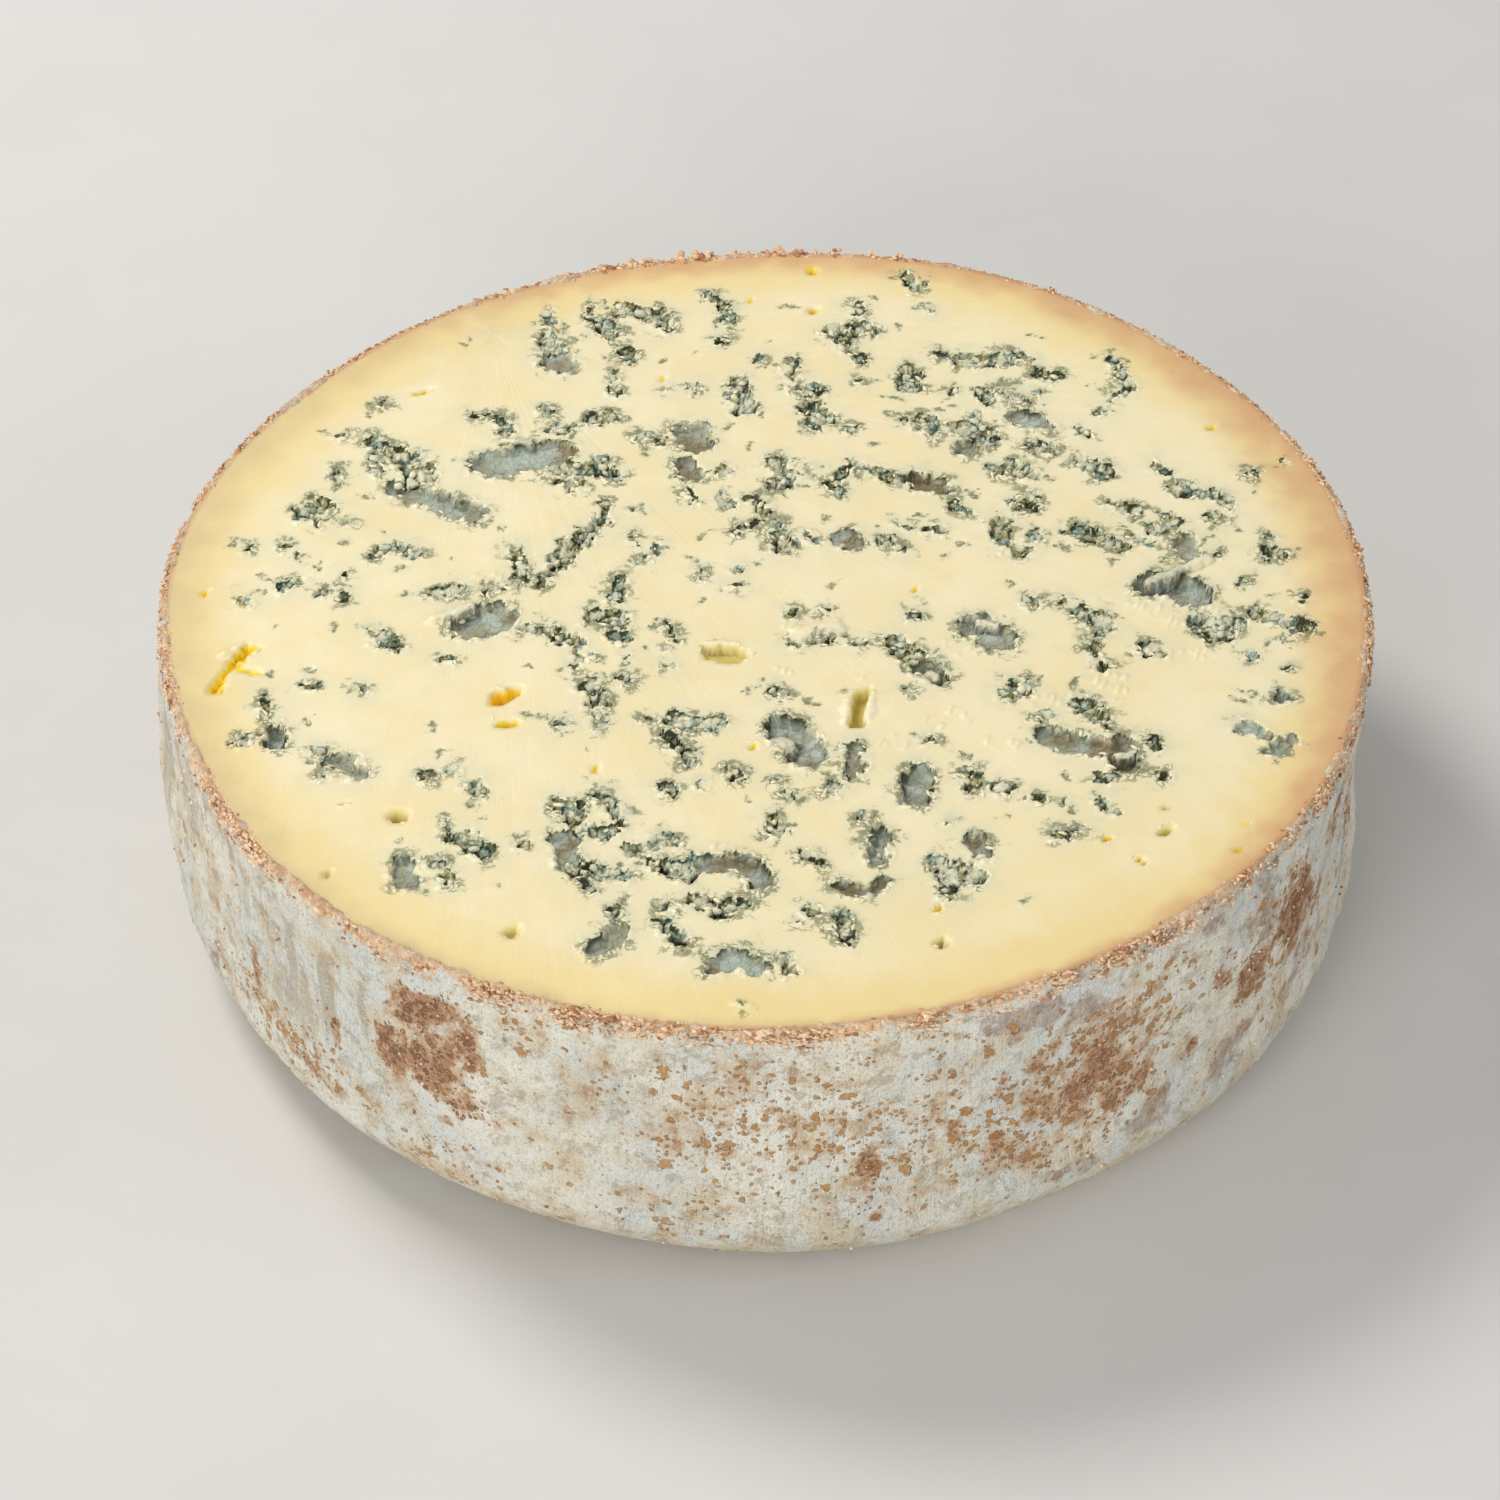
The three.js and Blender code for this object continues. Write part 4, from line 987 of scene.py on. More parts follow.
def crust_places(draw):
    """Places and sizes of the crumbs on the shoulder, thicker in some stretches than in others."""
    angle = draw.uniform(0, 2 * np.pi, 2 * CRUST_CRUMBS)
    ring = round_wheel(angle, WHEEL_RADIUS, 0 * angle)
    thick = smoothstep(Field(43).layered(ring, 9, 3), -0.5, 0.5)
    angle = angle[draw.random(angle.size) < 0.15 + 0.85 * thick][:CRUST_CRUMBS]
    torn = np.exp(-(((angle - TORN_EDGE) / TORN_SPREAD) ** 2))
    front = np.maximum(0, -np.sin(angle))
    spread_in = draw.beta(1.5, 2.2, angle.size)
    inwards = np.interp(spread_in, (0, 0.35, 0.55, 1), (0.0, 0.05, 0.5, 2.3))
    up = np.interp(spread_in, (0, 0.35, 0.55, 1), (-3.4, -1.0, -0.1, -0.15))
    size = draw.uniform(*CRUST_SIZES, angle.size)
    size = size * (1 + (2.2 * torn + 0.6 * front) * draw.random(angle.size) ** 2)
    spots = round_wheel(angle, rim_radius(angle) - inwards, FACE_HEIGHT + up)
    return spots, size, angle, spread_in


SHARD_BITS = 7
TORN_SHARDS = (
    (108, 1.1), (104.8, 1.2), (102.2, 1.2), (98.6, 2.1), (96.6, 1.4), (93.3, 0.9), (88.9, 1.7),
    (87.2, 1.3), (83.1, 1.1), (111.5, 0.8), (79.2, 0.8), (76.5, 0.9), (60, 0.8), (140, 0.9), (155, 0.8),
    (152, 0.7), (172, 0.8), (23, 0.8), (8, 0.9), (329, 0.9), (323, 1.0), (319, 0.7), (262, 0.8),
    (250, 0.7),
)


def shard_places(draw):
    """Clusters of larger bits of crust that stand on the rim, each given by its angle and height."""
    spots, sizes, headings = [], [], []
    for degrees, tall in TORN_SHARDS:
        for _ in range(SHARD_BITS):
            angle = math.radians(degrees) + draw.normal(0, 0.7 * tall) / WHEEL_RADIUS
            radius = rim_radius(angle) - draw.uniform(0.2, 1.4)
            lift = draw.uniform(-0.2, 0.62) * tall
            spots.append(round_wheel(angle, radius, FACE_HEIGHT + lift))
            sizes.append(draw.uniform(0.3, 0.5) * tall)
            headings.append(draw.uniform(0, math.pi))
    return np.array(spots), np.array(sizes), np.array(headings)


def side_places(draw):
    angle = draw.uniform(0, 2 * np.pi, SIDE_CRUMBS)
    height = draw.uniform(4, FACE_HEIGHT - 3, SIDE_CRUMBS)
    foot_inset = np.maximum(0, FOOT_ROUNDING - height)
    inwards = FOOT_ROUNDING - np.sqrt(np.maximum(0, FOOT_ROUNDING**2 - foot_inset**2))
    radius = rim_radius(angle) + side_relief(angle, height) - inwards + 0.05
    return round_wheel(angle, radius, height), draw.uniform(*SIDE_SIZES, SIDE_CRUMBS)


places, sizes, crumb_angle, spread_in = crust_places(draw)
side_spots, side_sizes = side_places(draw)
shard_spots, shard_sizes, shard_headings = shard_places(draw)
points, faces, tops = joined(
    lumps(places, sizes, draw, 0.45, 0.6, crumb_angle + np.pi / 2 + draw.normal(0, 0.5, len(places)), 2.0),
    lumps(side_spots, side_sizes, draw, 0.4, 0.5),
    lumps(shard_spots, shard_sizes, draw, 0.3, 0.4, shard_headings, 1.4))
pale = np.concatenate([spread_in < 0.25, np.ones(SIDE_CRUMBS), np.zeros(len(shard_spots))])
values = {"tone": np.repeat(draw.random(len(points) // 12), 12), "pale": np.repeat(pale, 12), "top": tops}
crust_crumbs = make_piece("crust_crumbs", points, faces, values)

# %% [markdown]
# ## A small language for materials
#
# A material is a sum over sockets, and sums read best as Python. The class below wraps one output socket,
# so that 0.5 * a + b adds the Math nodes by itself. Colours and vectors can't pass through Math nodes,
# which keep only one number, so they go through Mix and Vector Math instead.

# %% Sockets that can be added and multiplied


def colour(red, green, blue):
    """A colour as seen on screen, from 0 to 255, made linear for the renderer."""
    parts = [part / 255 for part in (red, green, blue)]
    return tuple(p / 12.92 if p <= 0.04045 else ((p + 0.055) / 1.055) ** 2.4 for p in parts) + (1.0,)


class Wire:
    """An output socket of a node. Arithmetic on it adds Math nodes."""

    def __init__(self, finish, socket):
        self.finish, self.socket = finish, socket

    def maths(self, operation, *others, clamp=False):
        inputs = dict(enumerate((self, *others)))
        return self.finish.node("Math", {"operation": operation, "use_clamp": clamp}, inputs)

    def __add__(self, other):
        return self.maths("ADD", other)

    def __mul__(self, other):
        return self.maths("MULTIPLY", other)

    def __sub__(self, other):
        return self.maths("SUBTRACT", other)

    def __rsub__(self, other):
        return self.finish.node("Math", {"operation": "SUBTRACT"}, {0: other, 1: self})

    __radd__, __rmul__ = __add__, __mul__

    def clamped(self):
        return self.maths("ADD", 0.0, clamp=True)

    def step(self, low, high):
        """Eases from 0 at low to 1 at high."""
        settings = {"interpolation_type": "SMOOTHSTEP"}
        return self.finish.node("MapRange", settings, {"Value": self, "From Min": low, "From Max": high})


class Finish:
    """A material that is built node by node."""

    def __init__(self, name):
        self.material = bpy.data.materials.new(name)
        self.material.use_nodes = True
        self.tree = self.material.node_tree
        self.tree.nodes.clear()
        self.places = self.node("TexCoord", output="Object")

    def node(self, kind, settings=None, inputs=None, output=0):
        """Adds a node: its settings first, then the values or wires of its sockets."""
        made = self.tree.nodes.new("ShaderNode" + kind)
        for name, value in (settings or {}).items():
            setattr(made, name, value)
        for name, value in (inputs or {}).items():
            if isinstance(value, Wire):
                self.tree.links.new(value.socket, made.inputs[name])
            else:
                made.inputs[name].default_value = value
        return Wire(self, made.outputs[output])

    def number(self, name):
        """A number that the mesh carries at each vertex."""
        return self.node("Attribute", {"attribute_name": name}, output="Fac")

    def numbers(self, *names):
        return [self.number(name) for name in names]

    def mix(self, share, first, second):
        settings = {"data_type": "RGBA", "blend_type": "MIX", "clamp_factor": True}
        return self.node("Mix", settings, {0: share, 6: first, 7: second}, output=2)

    def coats(self, body, *layers):
        """Lays colours over a body, one after another, each given with its share."""
        for share, over in layers:
            body = self.mix(share, body, over)
        return body

    def noise(self, size_mm, detail=3.0, roughness=0.55, stretch=(1, 1, 1), warp=0.0):
        """Smooth noise about size_mm across, from 0 to 1."""
        scaled = self.node("VectorMath", {"operation": "MULTIPLY"}, {0: self.places, 1: stretch})
        inputs = {"Vector": scaled, "Scale": 1 / (size_mm * MM), "Detail": detail, "Roughness": roughness,
                  "Distortion": warp}
        return self.node("TexNoise", None, inputs)

    def places_bent(self, reach_mm):
        """Places pushed about by noise, so that round cells turn out ragged."""
        inputs = {"Vector": self.places, "Scale": 0.8 / MM, "Detail": 2.0}
        push = self.node("TexNoise", None, inputs, output="Color")
        centred = self.node("VectorMath", {"operation": "SUBTRACT"}, {0: push, 1: (0.5, 0.5, 0.5)})
        scaled = self.node("VectorMath", {"operation": "SCALE"}, {0: centred, "Scale": 2 * reach_mm * MM})
        return self.node("VectorMath", {"operation": "ADD"}, {0: self.places, 1: scaled})

    def creases(self, size_mm):
        """Thin lines between rounded cells, from 0 in the cells to 1 on the lines."""
        inputs = {"Vector": self.places_bent(0.3 * size_mm), "Scale": 1 / (size_mm * MM)}
        return self.node("TexVoronoi", {"feature": "DISTANCE_TO_EDGE"}, inputs).step(0.16, 0.03)

    def axes(self, vector):
        """The X and Y of a vector."""
        split = self.node("SeparateXYZ", None, {"Vector": vector})
        return split, Wire(self, split.socket.node.outputs["Y"])

    def bump(self, height, distance_mm, strength=1.0, under=None):
        inputs = {"Strength": strength, "Distance": distance_mm * MM, "Height": height}
        if under:
            inputs["Normal"] = under
        return self.node("Bump", None, inputs)

    def surface(self, colour_wire, roughness, normal, **constants):
        """Ends the material in a Principled surface. Constants are set straight on its sockets."""
        inputs = {"Base Color": colour_wire, "Roughness": roughness, "Normal": normal}
        inputs.update({name.replace("_", " "): value for name, value in constants.items()})
        shader = self.node("BsdfPrincipled", None, inputs)
        output = self.tree.nodes.new("ShaderNodeOutputMaterial")
        self.tree.links.new(shader.socket, output.inputs["Surface"])
        return self.material


# %% [markdown]
# ## The paste
#
# Ripe paste is a warm cream that turns to straw and then to a pinkish brown at the rind, where it dried.
# Three layers build it: the paste, a bluish haze that creeps from the veins, and the mould itself. Threads
# and specks of mould too fine for any mesh come from noise, held near the veins by the number called halo.

# %% Finish of the paste and the mould
CREAM, STRAW = colour(249, 235, 194), colour(245, 227, 174)
MISTY = colour(232, 225, 188)
# Torn paste, also used as painted highlight.
TORN_WHITE_HIGHLIGHT = colour(251, 242, 214)
GOLD, AMBER = colour(252, 226, 70), colour(254, 208, 4)
PALE_OLIVE, DARK_OLIVE = colour(238, 224, 146), colour(214, 192, 98)
OUTER_STRAW, DRY_TAN = colour(243, 219, 152), colour(224, 200, 144)
DRY_PEACH, DRY_BROWN = colour(220, 176, 126), colour(204, 152, 110)
HAZE_GREEN, HAZE_OLIVE = colour(198, 200, 168), colour(190, 184, 128)
# Mould colours. The near black is partly the mould's own colour and partly painted shade.
MOULD_AND_SHADE_BLACK, MOULD_DARK = colour(46, 49, 22), colour(98, 104, 70)
MOULD_BLUE, MOULD_OLIVE, MOULD_PALE = colour(140, 164, 150), colour(172, 162, 106), colour(222, 220, 190)
# Painted shade: the nearly black of the gap under a vein's near lip.
GAP_SHADE_BLACK = colour(40, 34, 18)
CAVE_BLUE, CAVE_GREY, CAVE_BROWN = colour(190, 200, 186), colour(166, 166, 142), colour(142, 126, 92)
CURL_GREY = colour(230, 225, 198)
BARE_CURD = colour(240, 231, 198)
KNIFE_ENTRY, KNIFE_MARKS = (-48.0, 75.0), 42.0


def knife_marks(finish):
    """Fine lines that fan out from where the knife turned."""
    apart = finish.node("VectorMath", {"operation": "SUBTRACT"},
                        {0: finish.places, 1: [*(np.array(KNIFE_ENTRY) - MIDDLE) * MM, 0]})
    x, y = finish.axes(apart)
    swing = finish.node("Math", {"operation": "ARCTAN2"}, {0: y, 1: x})
    reach = finish.node("VectorMath", {"operation": "LENGTH"}, {0: apart}, output="Value")
    fan = finish.node("CombineXYZ", None, {"X": swing, "Y": reach * 0.4})
    inputs = {"Vector": fan, "Scale": KNIFE_MARKS, "Detail": 4.0, "Roughness": 0.7}
    return finish.node("TexNoise", None, inputs)


def thin_lines(finish, size_mm, detail, warp=0.0):
    """Thin lines that wander, where noise passes its middle."""
    return (finish.noise(size_mm, detail, 0.6, warp=warp) - 0.5).maths("ABSOLUTE").step(0.06, 0.015)


def mould_middle(finish):
    """The middle tone of mould, bluish in some places and olive in others."""
    return finish.mix(finish.noise(3.3, 2).step(0.42, 0.6), MOULD_BLUE, MOULD_OLIVE)


def soft(weight, depth):
    """Settings for light that enters the paste and comes out again, with red going deepest."""
    return {"Subsurface_Weight": weight, "Subsurface_Radius": (1.0, 0.5, 0.2), "Subsurface_Scale": depth}


def paste_finish():
    finish = Finish("cheese_paste")
    mould, halo, haze, fringe_and_highlight, deep, cave = finish.numbers("mould", "halo", "haze", "fringe_and_highlight", "deep", "cave")
    golden, olive, dry, edge, left, straw = finish.numbers("golden", "olive", "dry", "edge", "left", "straw")
    speck, crest, gap, mist, outline = finish.numbers("speck", "crest", "gap", "mist", "outline")
    curl, curl_side_shade = finish.numbers("curl", "curl_side_shade")
    broad, patchy, blotch = finish.noise(30, 2), finish.noise(6, 4), finish.noise(5, 3)
    fine, dust = finish.noise(0.9, 4, 0.65), finish.noise(0.4, 3, 0.7)
    marks, crease = knife_marks(finish), finish.creases(1.7)

    threads = thin_lines(finish, 3.6, 3).maths("MAXIMUM", thin_lines(finish, 1.9, 2, warp=0.4))
    broken = (finish.noise(2.6, 2) + 0.4 * halo).step(0.6, 0.72)
    threads = threads * broken * halo.step(0.12, 0.45)
    spots = (speck + 3.2 * (fine - 0.5) + 1.6 * (dust - 0.5)).step(0.55, 1.0) * speck.step(0.05, 0.3)
    fine_marks = threads.maths("MAXIMUM", spots)
    cover = (mould + 0.5 * (fine - 0.5) + 0.2 * (dust - 0.5)).step(0.3, 0.75)
    # Painted light and shade of the mould: pale on the grain tops, dark in the creases and along the vein
    # edges. The blotch term is the mould's own patchy tone.
    lit = 0.95 * crest + 0.4 * (fine - 0.5) + 0.25 * (dust - 0.5) - 0.2 * crease - 0.4 * outline
    lit = lit + 1.3 * (blotch - 0.5) + 0.12

    floor = finish.coats(
        finish.mix(blotch.step(0.42, 0.58), CAVE_BLUE, CAVE_GREY),
        ((0.5 * broad + 0.5 * patchy).step(0.48, 0.58), CAVE_BROWN),
        ((fine + 0.4 * (dust - 0.5)).step(0.6, 0.78) * 0.45, MOULD_DARK),
        # Painted shade along the cave's edge, partly the mould's own dark colour.
        (outline * 0.7, MOULD_AND_SHADE_BLACK),
    )
    growth = finish.coats(
        MOULD_AND_SHADE_BLACK,
        (lit.step(0.0, 0.22), MOULD_DARK),
        (lit.step(0.18, 0.36), mould_middle(finish)),
        (lit.step(0.36, 0.58), MOULD_PALE),
        # Painted shade: the gap under the near lip is nearly black.
        (gap.step(0.3, 0.7), GAP_SHADE_BLACK),
        (cave * 0.92, floor),
    )
    body = finish.coats(
        finish.mix((0.6 * broad + 0.4 * patchy).step(0.35, 0.65), CREAM, STRAW),
        ((mist * (0.5 + patchy)).step(0.35, 1.1) * 0.9, MISTY),
        (straw * 0.9, OUTER_STRAW),
        ((dry + 0.15 * (fine - 0.5)).step(0.0, 0.9), finish.mix(left, DRY_PEACH, DRY_TAN)),
        ((edge + 0.5 * (fine - 0.5)).step(0.3, 1.1) * 0.7, DRY_BROWN),
        # Paler torn paste, with painted highlight on the near lips, ripple crests and curls.
        ((fringe_and_highlight + 0.3 * (fine - 0.5)).step(0.2, 0.8) * 0.5, TORN_WHITE_HIGHLIGHT),
        ((haze + 0.5 * (fine - 0.5) * haze).step(0.1, 1.0) * 0.85, HAZE_GREEN),
        (olive * 0.75, PALE_OLIVE),
        ((olive * deep * 1.3).clamped(), DARK_OLIVE),
        (golden.step(0.2, 0.8) * 0.95, GOLD),
        ((golden * deep * 2.6).clamped(), AMBER),
        (speck * 0.7, HAZE_GREEN),
        ((fine_marks * 1.8).clamped() * 0.4, HAZE_OLIVE),
        (fine_marks * (0.45 + 0.9 * (fine - 0.3)), MOULD_DARK),
        (cover, growth),
        (curl * (0.3 + 0.6 * patchy), CURL_GREY),
        # Painted shadow along the sides of the curls.
        (curl_side_shade * fine.step(0.3, 0.55) * 0.7, MOULD_AND_SHADE_BLACK),
    )

    height = 0.5 * fine + 0.3 * dust - 0.5 * crease * cover
    torn = finish.bump(height * (0.1 + 0.9 * cover + 0.5 * fringe_and_highlight), 0.35)
    normal = finish.bump(marks * (1 - cover), 0.15, 0.7, under=torn)
    roughness = 0.4 + 0.12 * patchy + 0.35 * cover
    return finish.surface(body, roughness, normal, **soft(0.15, 0.002))


paste.data.materials.append(paste_finish())

# %% [markdown]
# A grain is a mould tone, and some are bare curd and stay cream. Over that, light and shade are painted:
# pale on a grain's top, nearly black underneath and darker the deeper it lies. The fringe is torn paste,
# painted whiter on top as highlight and straw underneath as shade.

# %% Finishes of the grains and the fringe


def grain_finish():
    finish = Finish("mould_grain")
    tone, top, buried = finish.numbers("tone", "top", "buried")
    fine, dust = finish.noise(0.8, 3, 0.65), finish.noise(0.35, 2, 0.7)
    # Painted light and shade: pale on the grain's top, dark underneath and deeper in the pocket.
    lit = 0.5 + 0.55 * top + 0.4 * (fine - 0.5) + 0.2 * (dust - 0.5) - 0.35 * buried
    lit = lit + 1.2 * (finish.noise(5, 3) - 0.5)
    dry_tones = (tone.step(0.05, 0.4), MOULD_PALE), (tone.step(0.55, 0.85), BARE_CURD)
    pale = finish.coats(mould_middle(finish), *dry_tones)
    body = finish.coats(MOULD_AND_SHADE_BLACK, (lit.step(0.1, 0.32), MOULD_DARK), (lit.step(0.25, 0.48), pale))
    return finish.surface(body, 0.75, finish.bump(0.5 * fine + 0.3 * dust, 0.2))


def fringe_finish():
    finish = Finish("torn_paste")
    top, fine = finish.number("top"), finish.noise(0.8, 3, 0.6)
    # Painted light and shade: whiter on each bit's top, straw underneath.
    top_highlight = top + 0.5 * (fine - 0.5)
    body = finish.coats(OUTER_STRAW, (top_highlight.step(0.1, 0.4), CREAM), (top_highlight.step(0.6, 1.0) * 0.6, TORN_WHITE_HIGHLIGHT))
    return finish.surface(body, 0.5, finish.bump(fine, 0.2), **soft(0.1, 0.001))


grains.data.materials.append(grain_finish())
fringe_bits.data.materials.append(fringe_finish())

# %% [markdown]
# ## The rind's finish
#
# The bloom on an old rind is a felt of pale moulds. Round colonies of a golden brown one break through it:
# each is a dot, so the dots come from cells, and the numbers measured above say how many cells carry one.
# In the brown patches they crowd together over a stained ground.

# %% Finish of the rind
BLOOM_WHITE, BLOOM_BLUE, BLOOM_CREAM = colour(240, 236, 221), colour(224, 226, 218), colour(220, 202, 166)
DOT_GOLD, DOT_BROWN, DOT_DARK = colour(200, 148, 82), colour(176, 124, 76), colour(136, 90, 58)
STAIN_TAN, STAIN_BROWN = colour(208, 170, 128), colour(168, 114, 78)
LILAC_GREY, LILAC_DARK, STREAK_GREY = colour(196, 174, 158), colour(136, 112, 100), colour(178, 164, 138)
CRUST_PALE, CRUST_PINK, CRUST_ORANGE = colour(243, 216, 180), colour(228, 190, 150), colour(206, 154, 110)
CRUST_BROWN, CRUST_DUSTY = colour(174, 120, 82), colour(238, 216, 188)
# White hairs and brown pores, also used as painted highlight and painted shade on the felt's relief.
HAIR_AND_HIGHLIGHT_WHITE, PORE_AND_SHADE_BROWN = colour(250, 247, 236), colour(134, 112, 88)
BROWN_GRIT, TAN_GRIT = colour(116, 78, 54), colour(206, 164, 122)


def colonies(finish, size_mm, density):
    """Round dots, one in a share of the cells of this size given by the density."""
    cell = finish.places_bent(0.45 * size_mm)
    inputs = {"Vector": cell, "Scale": 1 / (size_mm * MM), "Randomness": 0.9}
    distance = finish.node("TexVoronoi", None, inputs)
    chance = finish.node("TexVoronoi", None, inputs, output="Color")
    chance = finish.node("SeparateColor", None, {"Color": chance})
    radius = 0.14 + 0.4 * finish.noise(1.1 * size_mm, 3, 0.6)
    return (radius - distance).step(-0.03, 0.06) * (density - chance).step(0.0, 0.1)


def rind_finish():
    finish = Finish("cheese_rind")
    brown, lilac, grey, speckled = finish.numbers("brown", "lilac", "grey", "speckled")
    crust, low = finish.numbers("crust", "low")
    broad, patchy = finish.noise(24, 3), finish.noise(7, 4, 0.6)
    mottle, grit = finish.noise(3.6, 4, 0.65), finish.noise(1.1, 4, 0.7)
    felt, dust = finish.noise(1.7, 4, 0.65), finish.noise(0.55, 3, 0.75)
    grooves = finish.noise(1.5, 3, 0.6, stretch=(1, 1, 0.12))

    crease = (felt + 0.7 * (dust - 0.5)).step(0.4, 0.62)
    # Follows the felt's relief: white hairs and painted highlight on its tops, brown pores and painted shade
    # in its hollows.
    hairs_and_felt_light = dust + 0.5 * (felt - 0.5)
    ragged = 2.0 * (patchy - 0.5) + 1.6 * (mottle - 0.5) + 0.6 * (felt - 0.5)
    stained = (brown + 0.2 * speckled + ragged).step(0.45, 0.95)
    density = 0.07 + 0.6 * speckled + 0.6 * brown + 1.6 * (patchy - 0.5) * (speckled + 0.3)
    dots = colonies(finish, 3.1, density * 0.75).maths("MAXIMUM", colonies(finish, 1.9, density))
    dots = dots.maths("MAXIMUM", colonies(finish, 1.1, density * 1.1 - 0.03))
    dot_colour = finish.coats(
        DOT_GOLD,
        ((patchy + 0.5 * brown).step(0.42, 0.85), DOT_BROWN),
        ((felt + 0.6 * brown - 0.2).step(0.55, 0.95), DOT_DARK),
    )
    rim = finish.coats(
        finish.mix((felt + 0.5 * (dust - 0.5)).step(0.35, 0.65), CRUST_PINK, CRUST_PALE),
        ((mottle + 0.6 * (dust - 0.5)).step(0.5, 0.62) * 0.8, CRUST_ORANGE),
        ((grit + 0.5 * (mottle - 0.5)).step(0.6, 0.72) * 0.6, CRUST_BROWN),
    )
    body = finish.coats(
        finish.mix(broad.step(0.4, 0.6), BLOOM_WHITE, BLOOM_BLUE),
        ((patchy + 0.1 * low).step(0.42, 0.68) * 0.8, BLOOM_CREAM),
        ((mottle + 0.5 * (felt - 0.5)).step(0.5, 0.66) * 0.6, STREAK_GREY),
        ((grooves - 0.5 + grey).step(0.05, 0.7) * 0.6, STREAK_GREY),
        ((lilac + ragged).step(0.25, 0.85) * 0.7, finish.mix(crease, LILAC_GREY, LILAC_DARK)),
        ((brown + 0.45 * speckled + ragged).step(0.2, 0.85) * 0.85, STAIN_TAN),
        (stained * 0.7, STAIN_BROWN),
        (stained * grit.step(0.52, 0.68) * 0.7, TAN_GRIT),
        (stained * grit.step(0.46, 0.34) * 0.8, BROWN_GRIT),
        (dots * (0.65 + 0.6 * felt), dot_colour),
        ((crust + 0.9 * (felt - 0.5) + 0.7 * (patchy - 0.5)).step(0.25, 0.85), rim),
        # Painted highlight on the felt's tops and painted shade in its hollows, partly real hairs and pores.
        (hairs_and_felt_light.step(0.54, 0.7) * 0.4, HAIR_AND_HIGHLIGHT_WHITE),
        (hairs_and_felt_light.step(0.44, 0.28) * 0.45, PORE_AND_SHADE_BROWN),
    )

    relief = finish.bump(0.6 * felt + 0.5 * dust + 0.35 * dots + 0.4 * mottle, 1.2)
    return finish.surface(body, 0.88, finish.bump(grooves, 1.0, 0.6, under=relief))


rind.data.materials.append(rind_finish())


def crumb_finish():
    finish = Finish("crust_crumb")
    tone, pale, top = finish.numbers("tone", "pale", "top")
    fine = finish.noise(0.8, 3, 0.6)
    # Each crumb's tone is its own. Painted light and shade over it: paler on top, brown underneath.
    body = finish.coats(
        CRUST_BROWN,
        (tone.step(0.05, 0.2), CRUST_ORANGE),
        (tone.step(0.15, 0.4), CRUST_PINK),
        ((tone * (0.6 + 0.4 * top)).step(0.45, 0.8), CRUST_PALE),
        (pale * tone.step(0.1, 0.5) * 0.85, CRUST_DUSTY),
        # Painted shade on the undersides of the crumbs.
        ((top + 0.4 * (fine - 0.5)).step(0.3, 0.05) * (0.6 - 0.4 * pale), CRUST_BROWN),
    )
    return finish.surface(body, 0.8, finish.bump(fine, 0.25))


crust_crumbs.data.materials.append(crumb_finish())

# %% [markdown]
# ## Floor, light and camera
#
# A pale floor and large soft lamps keep the colours honest. The camera looks at the angle of the
# photograph, about 40 degrees above the cut face, and far enough off for the far rim to look nearly as wide
# as the near.

# %% Floor
FLOOR_SIZE = 6.0
FLOOR_DARK, FLOOR_PALE = colour(214, 212, 208), colour(222, 220, 216)


def make_floor():
    mesh = bpy.data.meshes.new("floor")
    half = FLOOR_SIZE / 2
    corners = [(-half, -half, 0), (half, -half, 0), (half, half, 0), (-half, half, 0)]
    mesh.from_pydata(corners, [], [(0, 1, 2, 3)])
    floor = bpy.data.objects.new("floor", mesh)
    bpy.context.scene.collection.objects.link(floor)
    finish = Finish("floor")
    grain = finish.noise(40, 3)
    tint = finish.mix(grain, FLOOR_DARK, FLOOR_PALE)
    mesh.materials.append(finish.surface(tint, 0.9, finish.bump(grain, 0.1)))


make_floor()

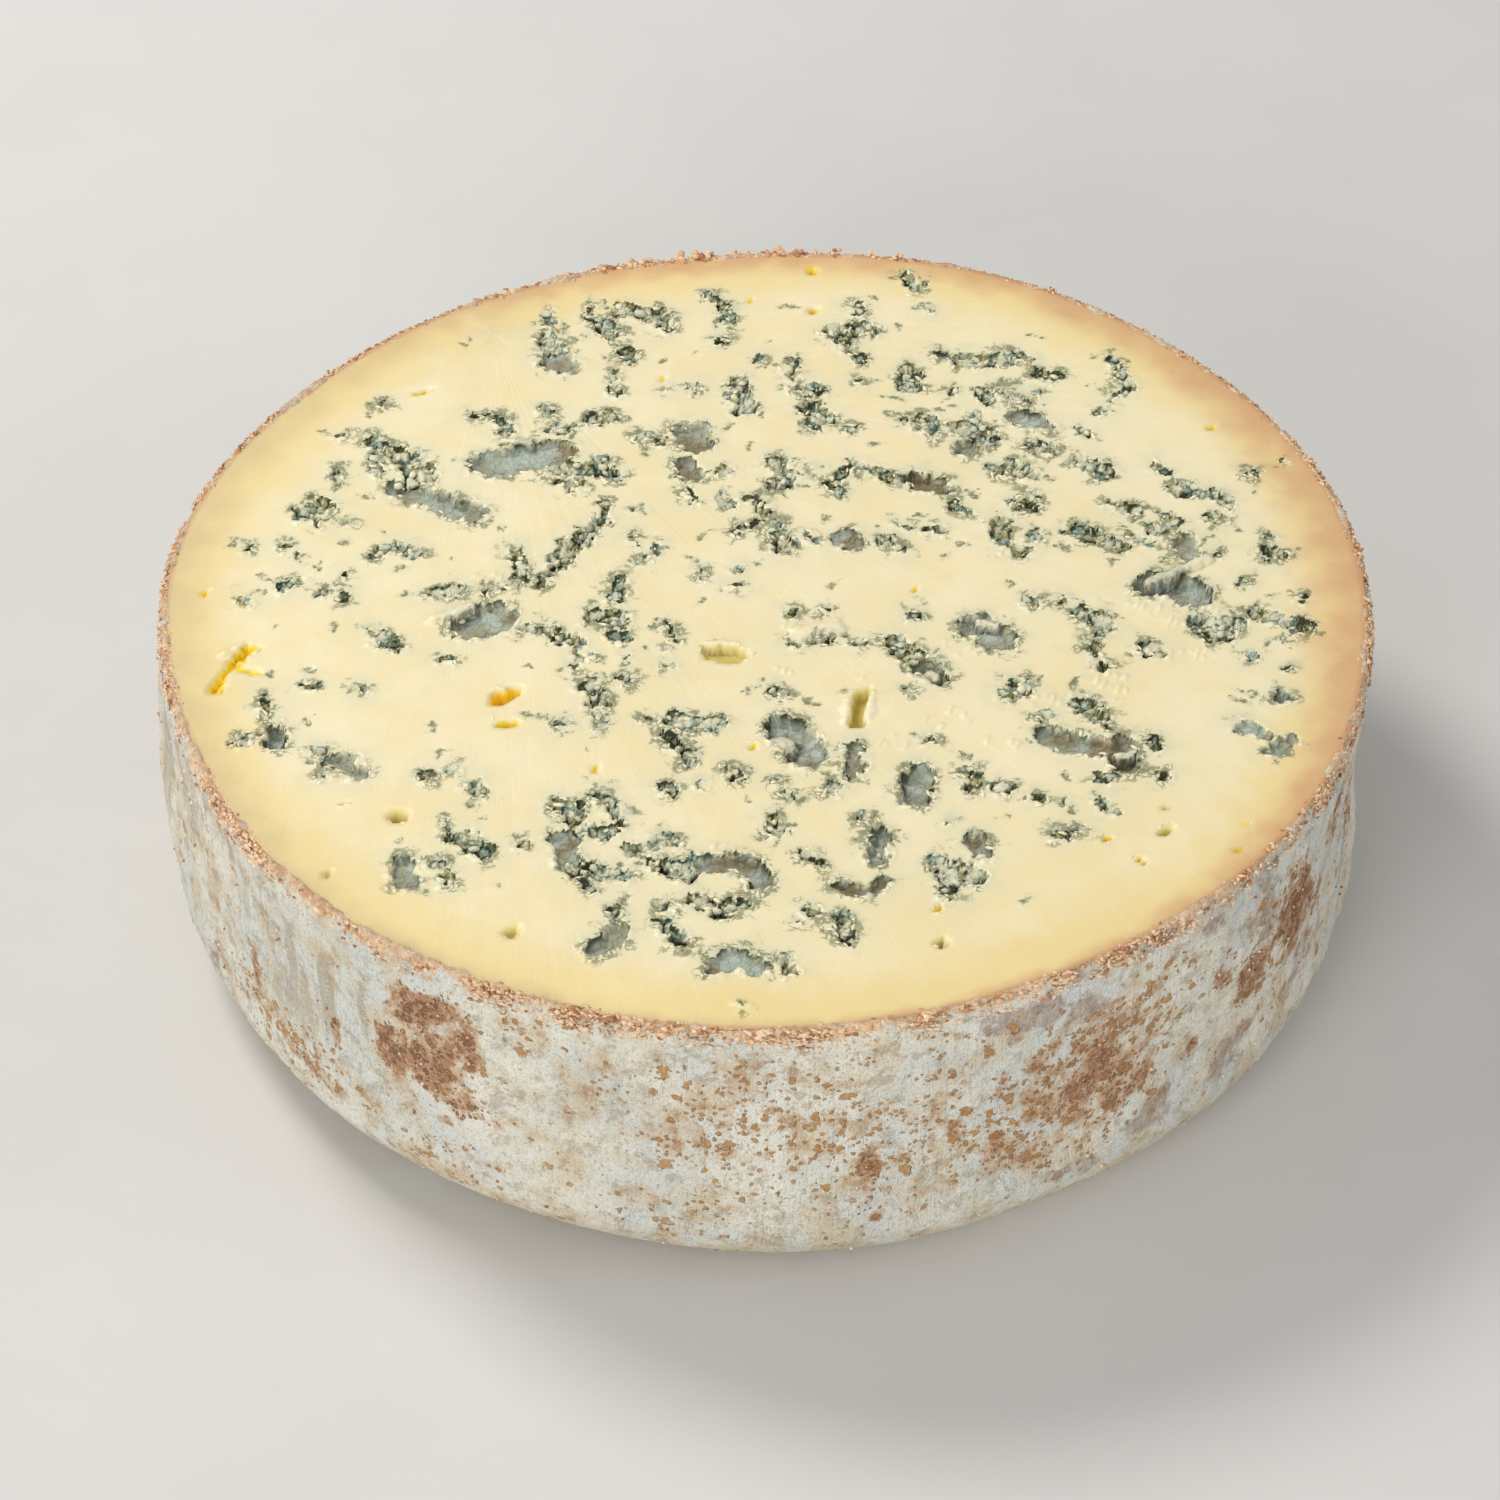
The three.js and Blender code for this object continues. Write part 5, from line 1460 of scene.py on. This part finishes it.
# %% Soft studio light
FACE_MIDDLE = Vector((0, 0, FACE_HEIGHT * MM))
LAMPS = (
    ("key", (-0.55, 0.5, 0.95), 0.4, 7.9, (1, 0.98, 0.95)),
    ("front", (-0.5, -1.05, 0.4), 0.7, 8.0, (1, 0.99, 0.98)),
    ("right", (1.0, -0.3, 0.5), 0.6, 2.6, (1, 1, 1)),
)
SKY_TINT, SKY_STRENGTH = (0.95, 0.97, 1, 1), 0.36


def lamp(name, place, size, power, tint):
    """A round soft lamp that points at the middle of the face, placed in metres, with its power in watts."""
    data = bpy.data.lights.new(name, "AREA")
    data.shape, data.size, data.energy, data.color = "DISK", size, power, tint
    holder = bpy.data.objects.new(name, data)
    holder.location = place
    holder.rotation_euler = (FACE_MIDDLE - Vector(place)).to_track_quat("-Z", "Y").to_euler()
    bpy.context.scene.collection.objects.link(holder)


for row in LAMPS:
    lamp(*row)

world = bpy.data.worlds.new("studio")
world.use_nodes = True
sky = world.node_tree.nodes["Background"].inputs
sky["Color"].default_value = SKY_TINT
sky["Strength"].default_value = SKY_STRENGTH
bpy.context.scene.world = world
bpy.context.scene.view_settings.view_transform = "Standard"

# %% Camera
PHOTO_SIDE = 1500
FOCAL_PIXELS = 5481.0
SENSOR = 36.0
SIGHT_ELEVATION = math.radians(39.6)
SIGHT_DISTANCE = 900.0
FACE_PIXEL = (767.5, 607.0)


def place_camera():
    """Stands on the sight line through the face's middle, which falls on its pixel of the photograph."""
    data = bpy.data.cameras.new("camera")
    data.sensor_width = SENSOR
    data.lens = SENSOR * FOCAL_PIXELS / PHOTO_SIDE
    data.clip_start, data.clip_end = 0.01, 20
    camera = bpy.data.objects.new("camera", data)
    back = Vector((0, -math.cos(SIGHT_ELEVATION), math.sin(SIGHT_ELEVATION)))
    middle = Vector((-MIDDLE[0], -MIDDLE[1], FACE_HEIGHT))
    half = PHOTO_SIDE / 2
    off_axis = Vector((FACE_PIXEL[0] - half, half - FACE_PIXEL[1], -FOCAL_PIXELS))
    aim = back.to_track_quat("Z", "Y") @ off_axis.rotation_difference(Vector((0, 0, -1)))
    camera.matrix_world = Matrix.LocRotScale((middle + back * SIGHT_DISTANCE) * MM, aim, None)
    bpy.context.scene.collection.objects.link(camera)
    bpy.context.scene.camera = camera


place_camera()
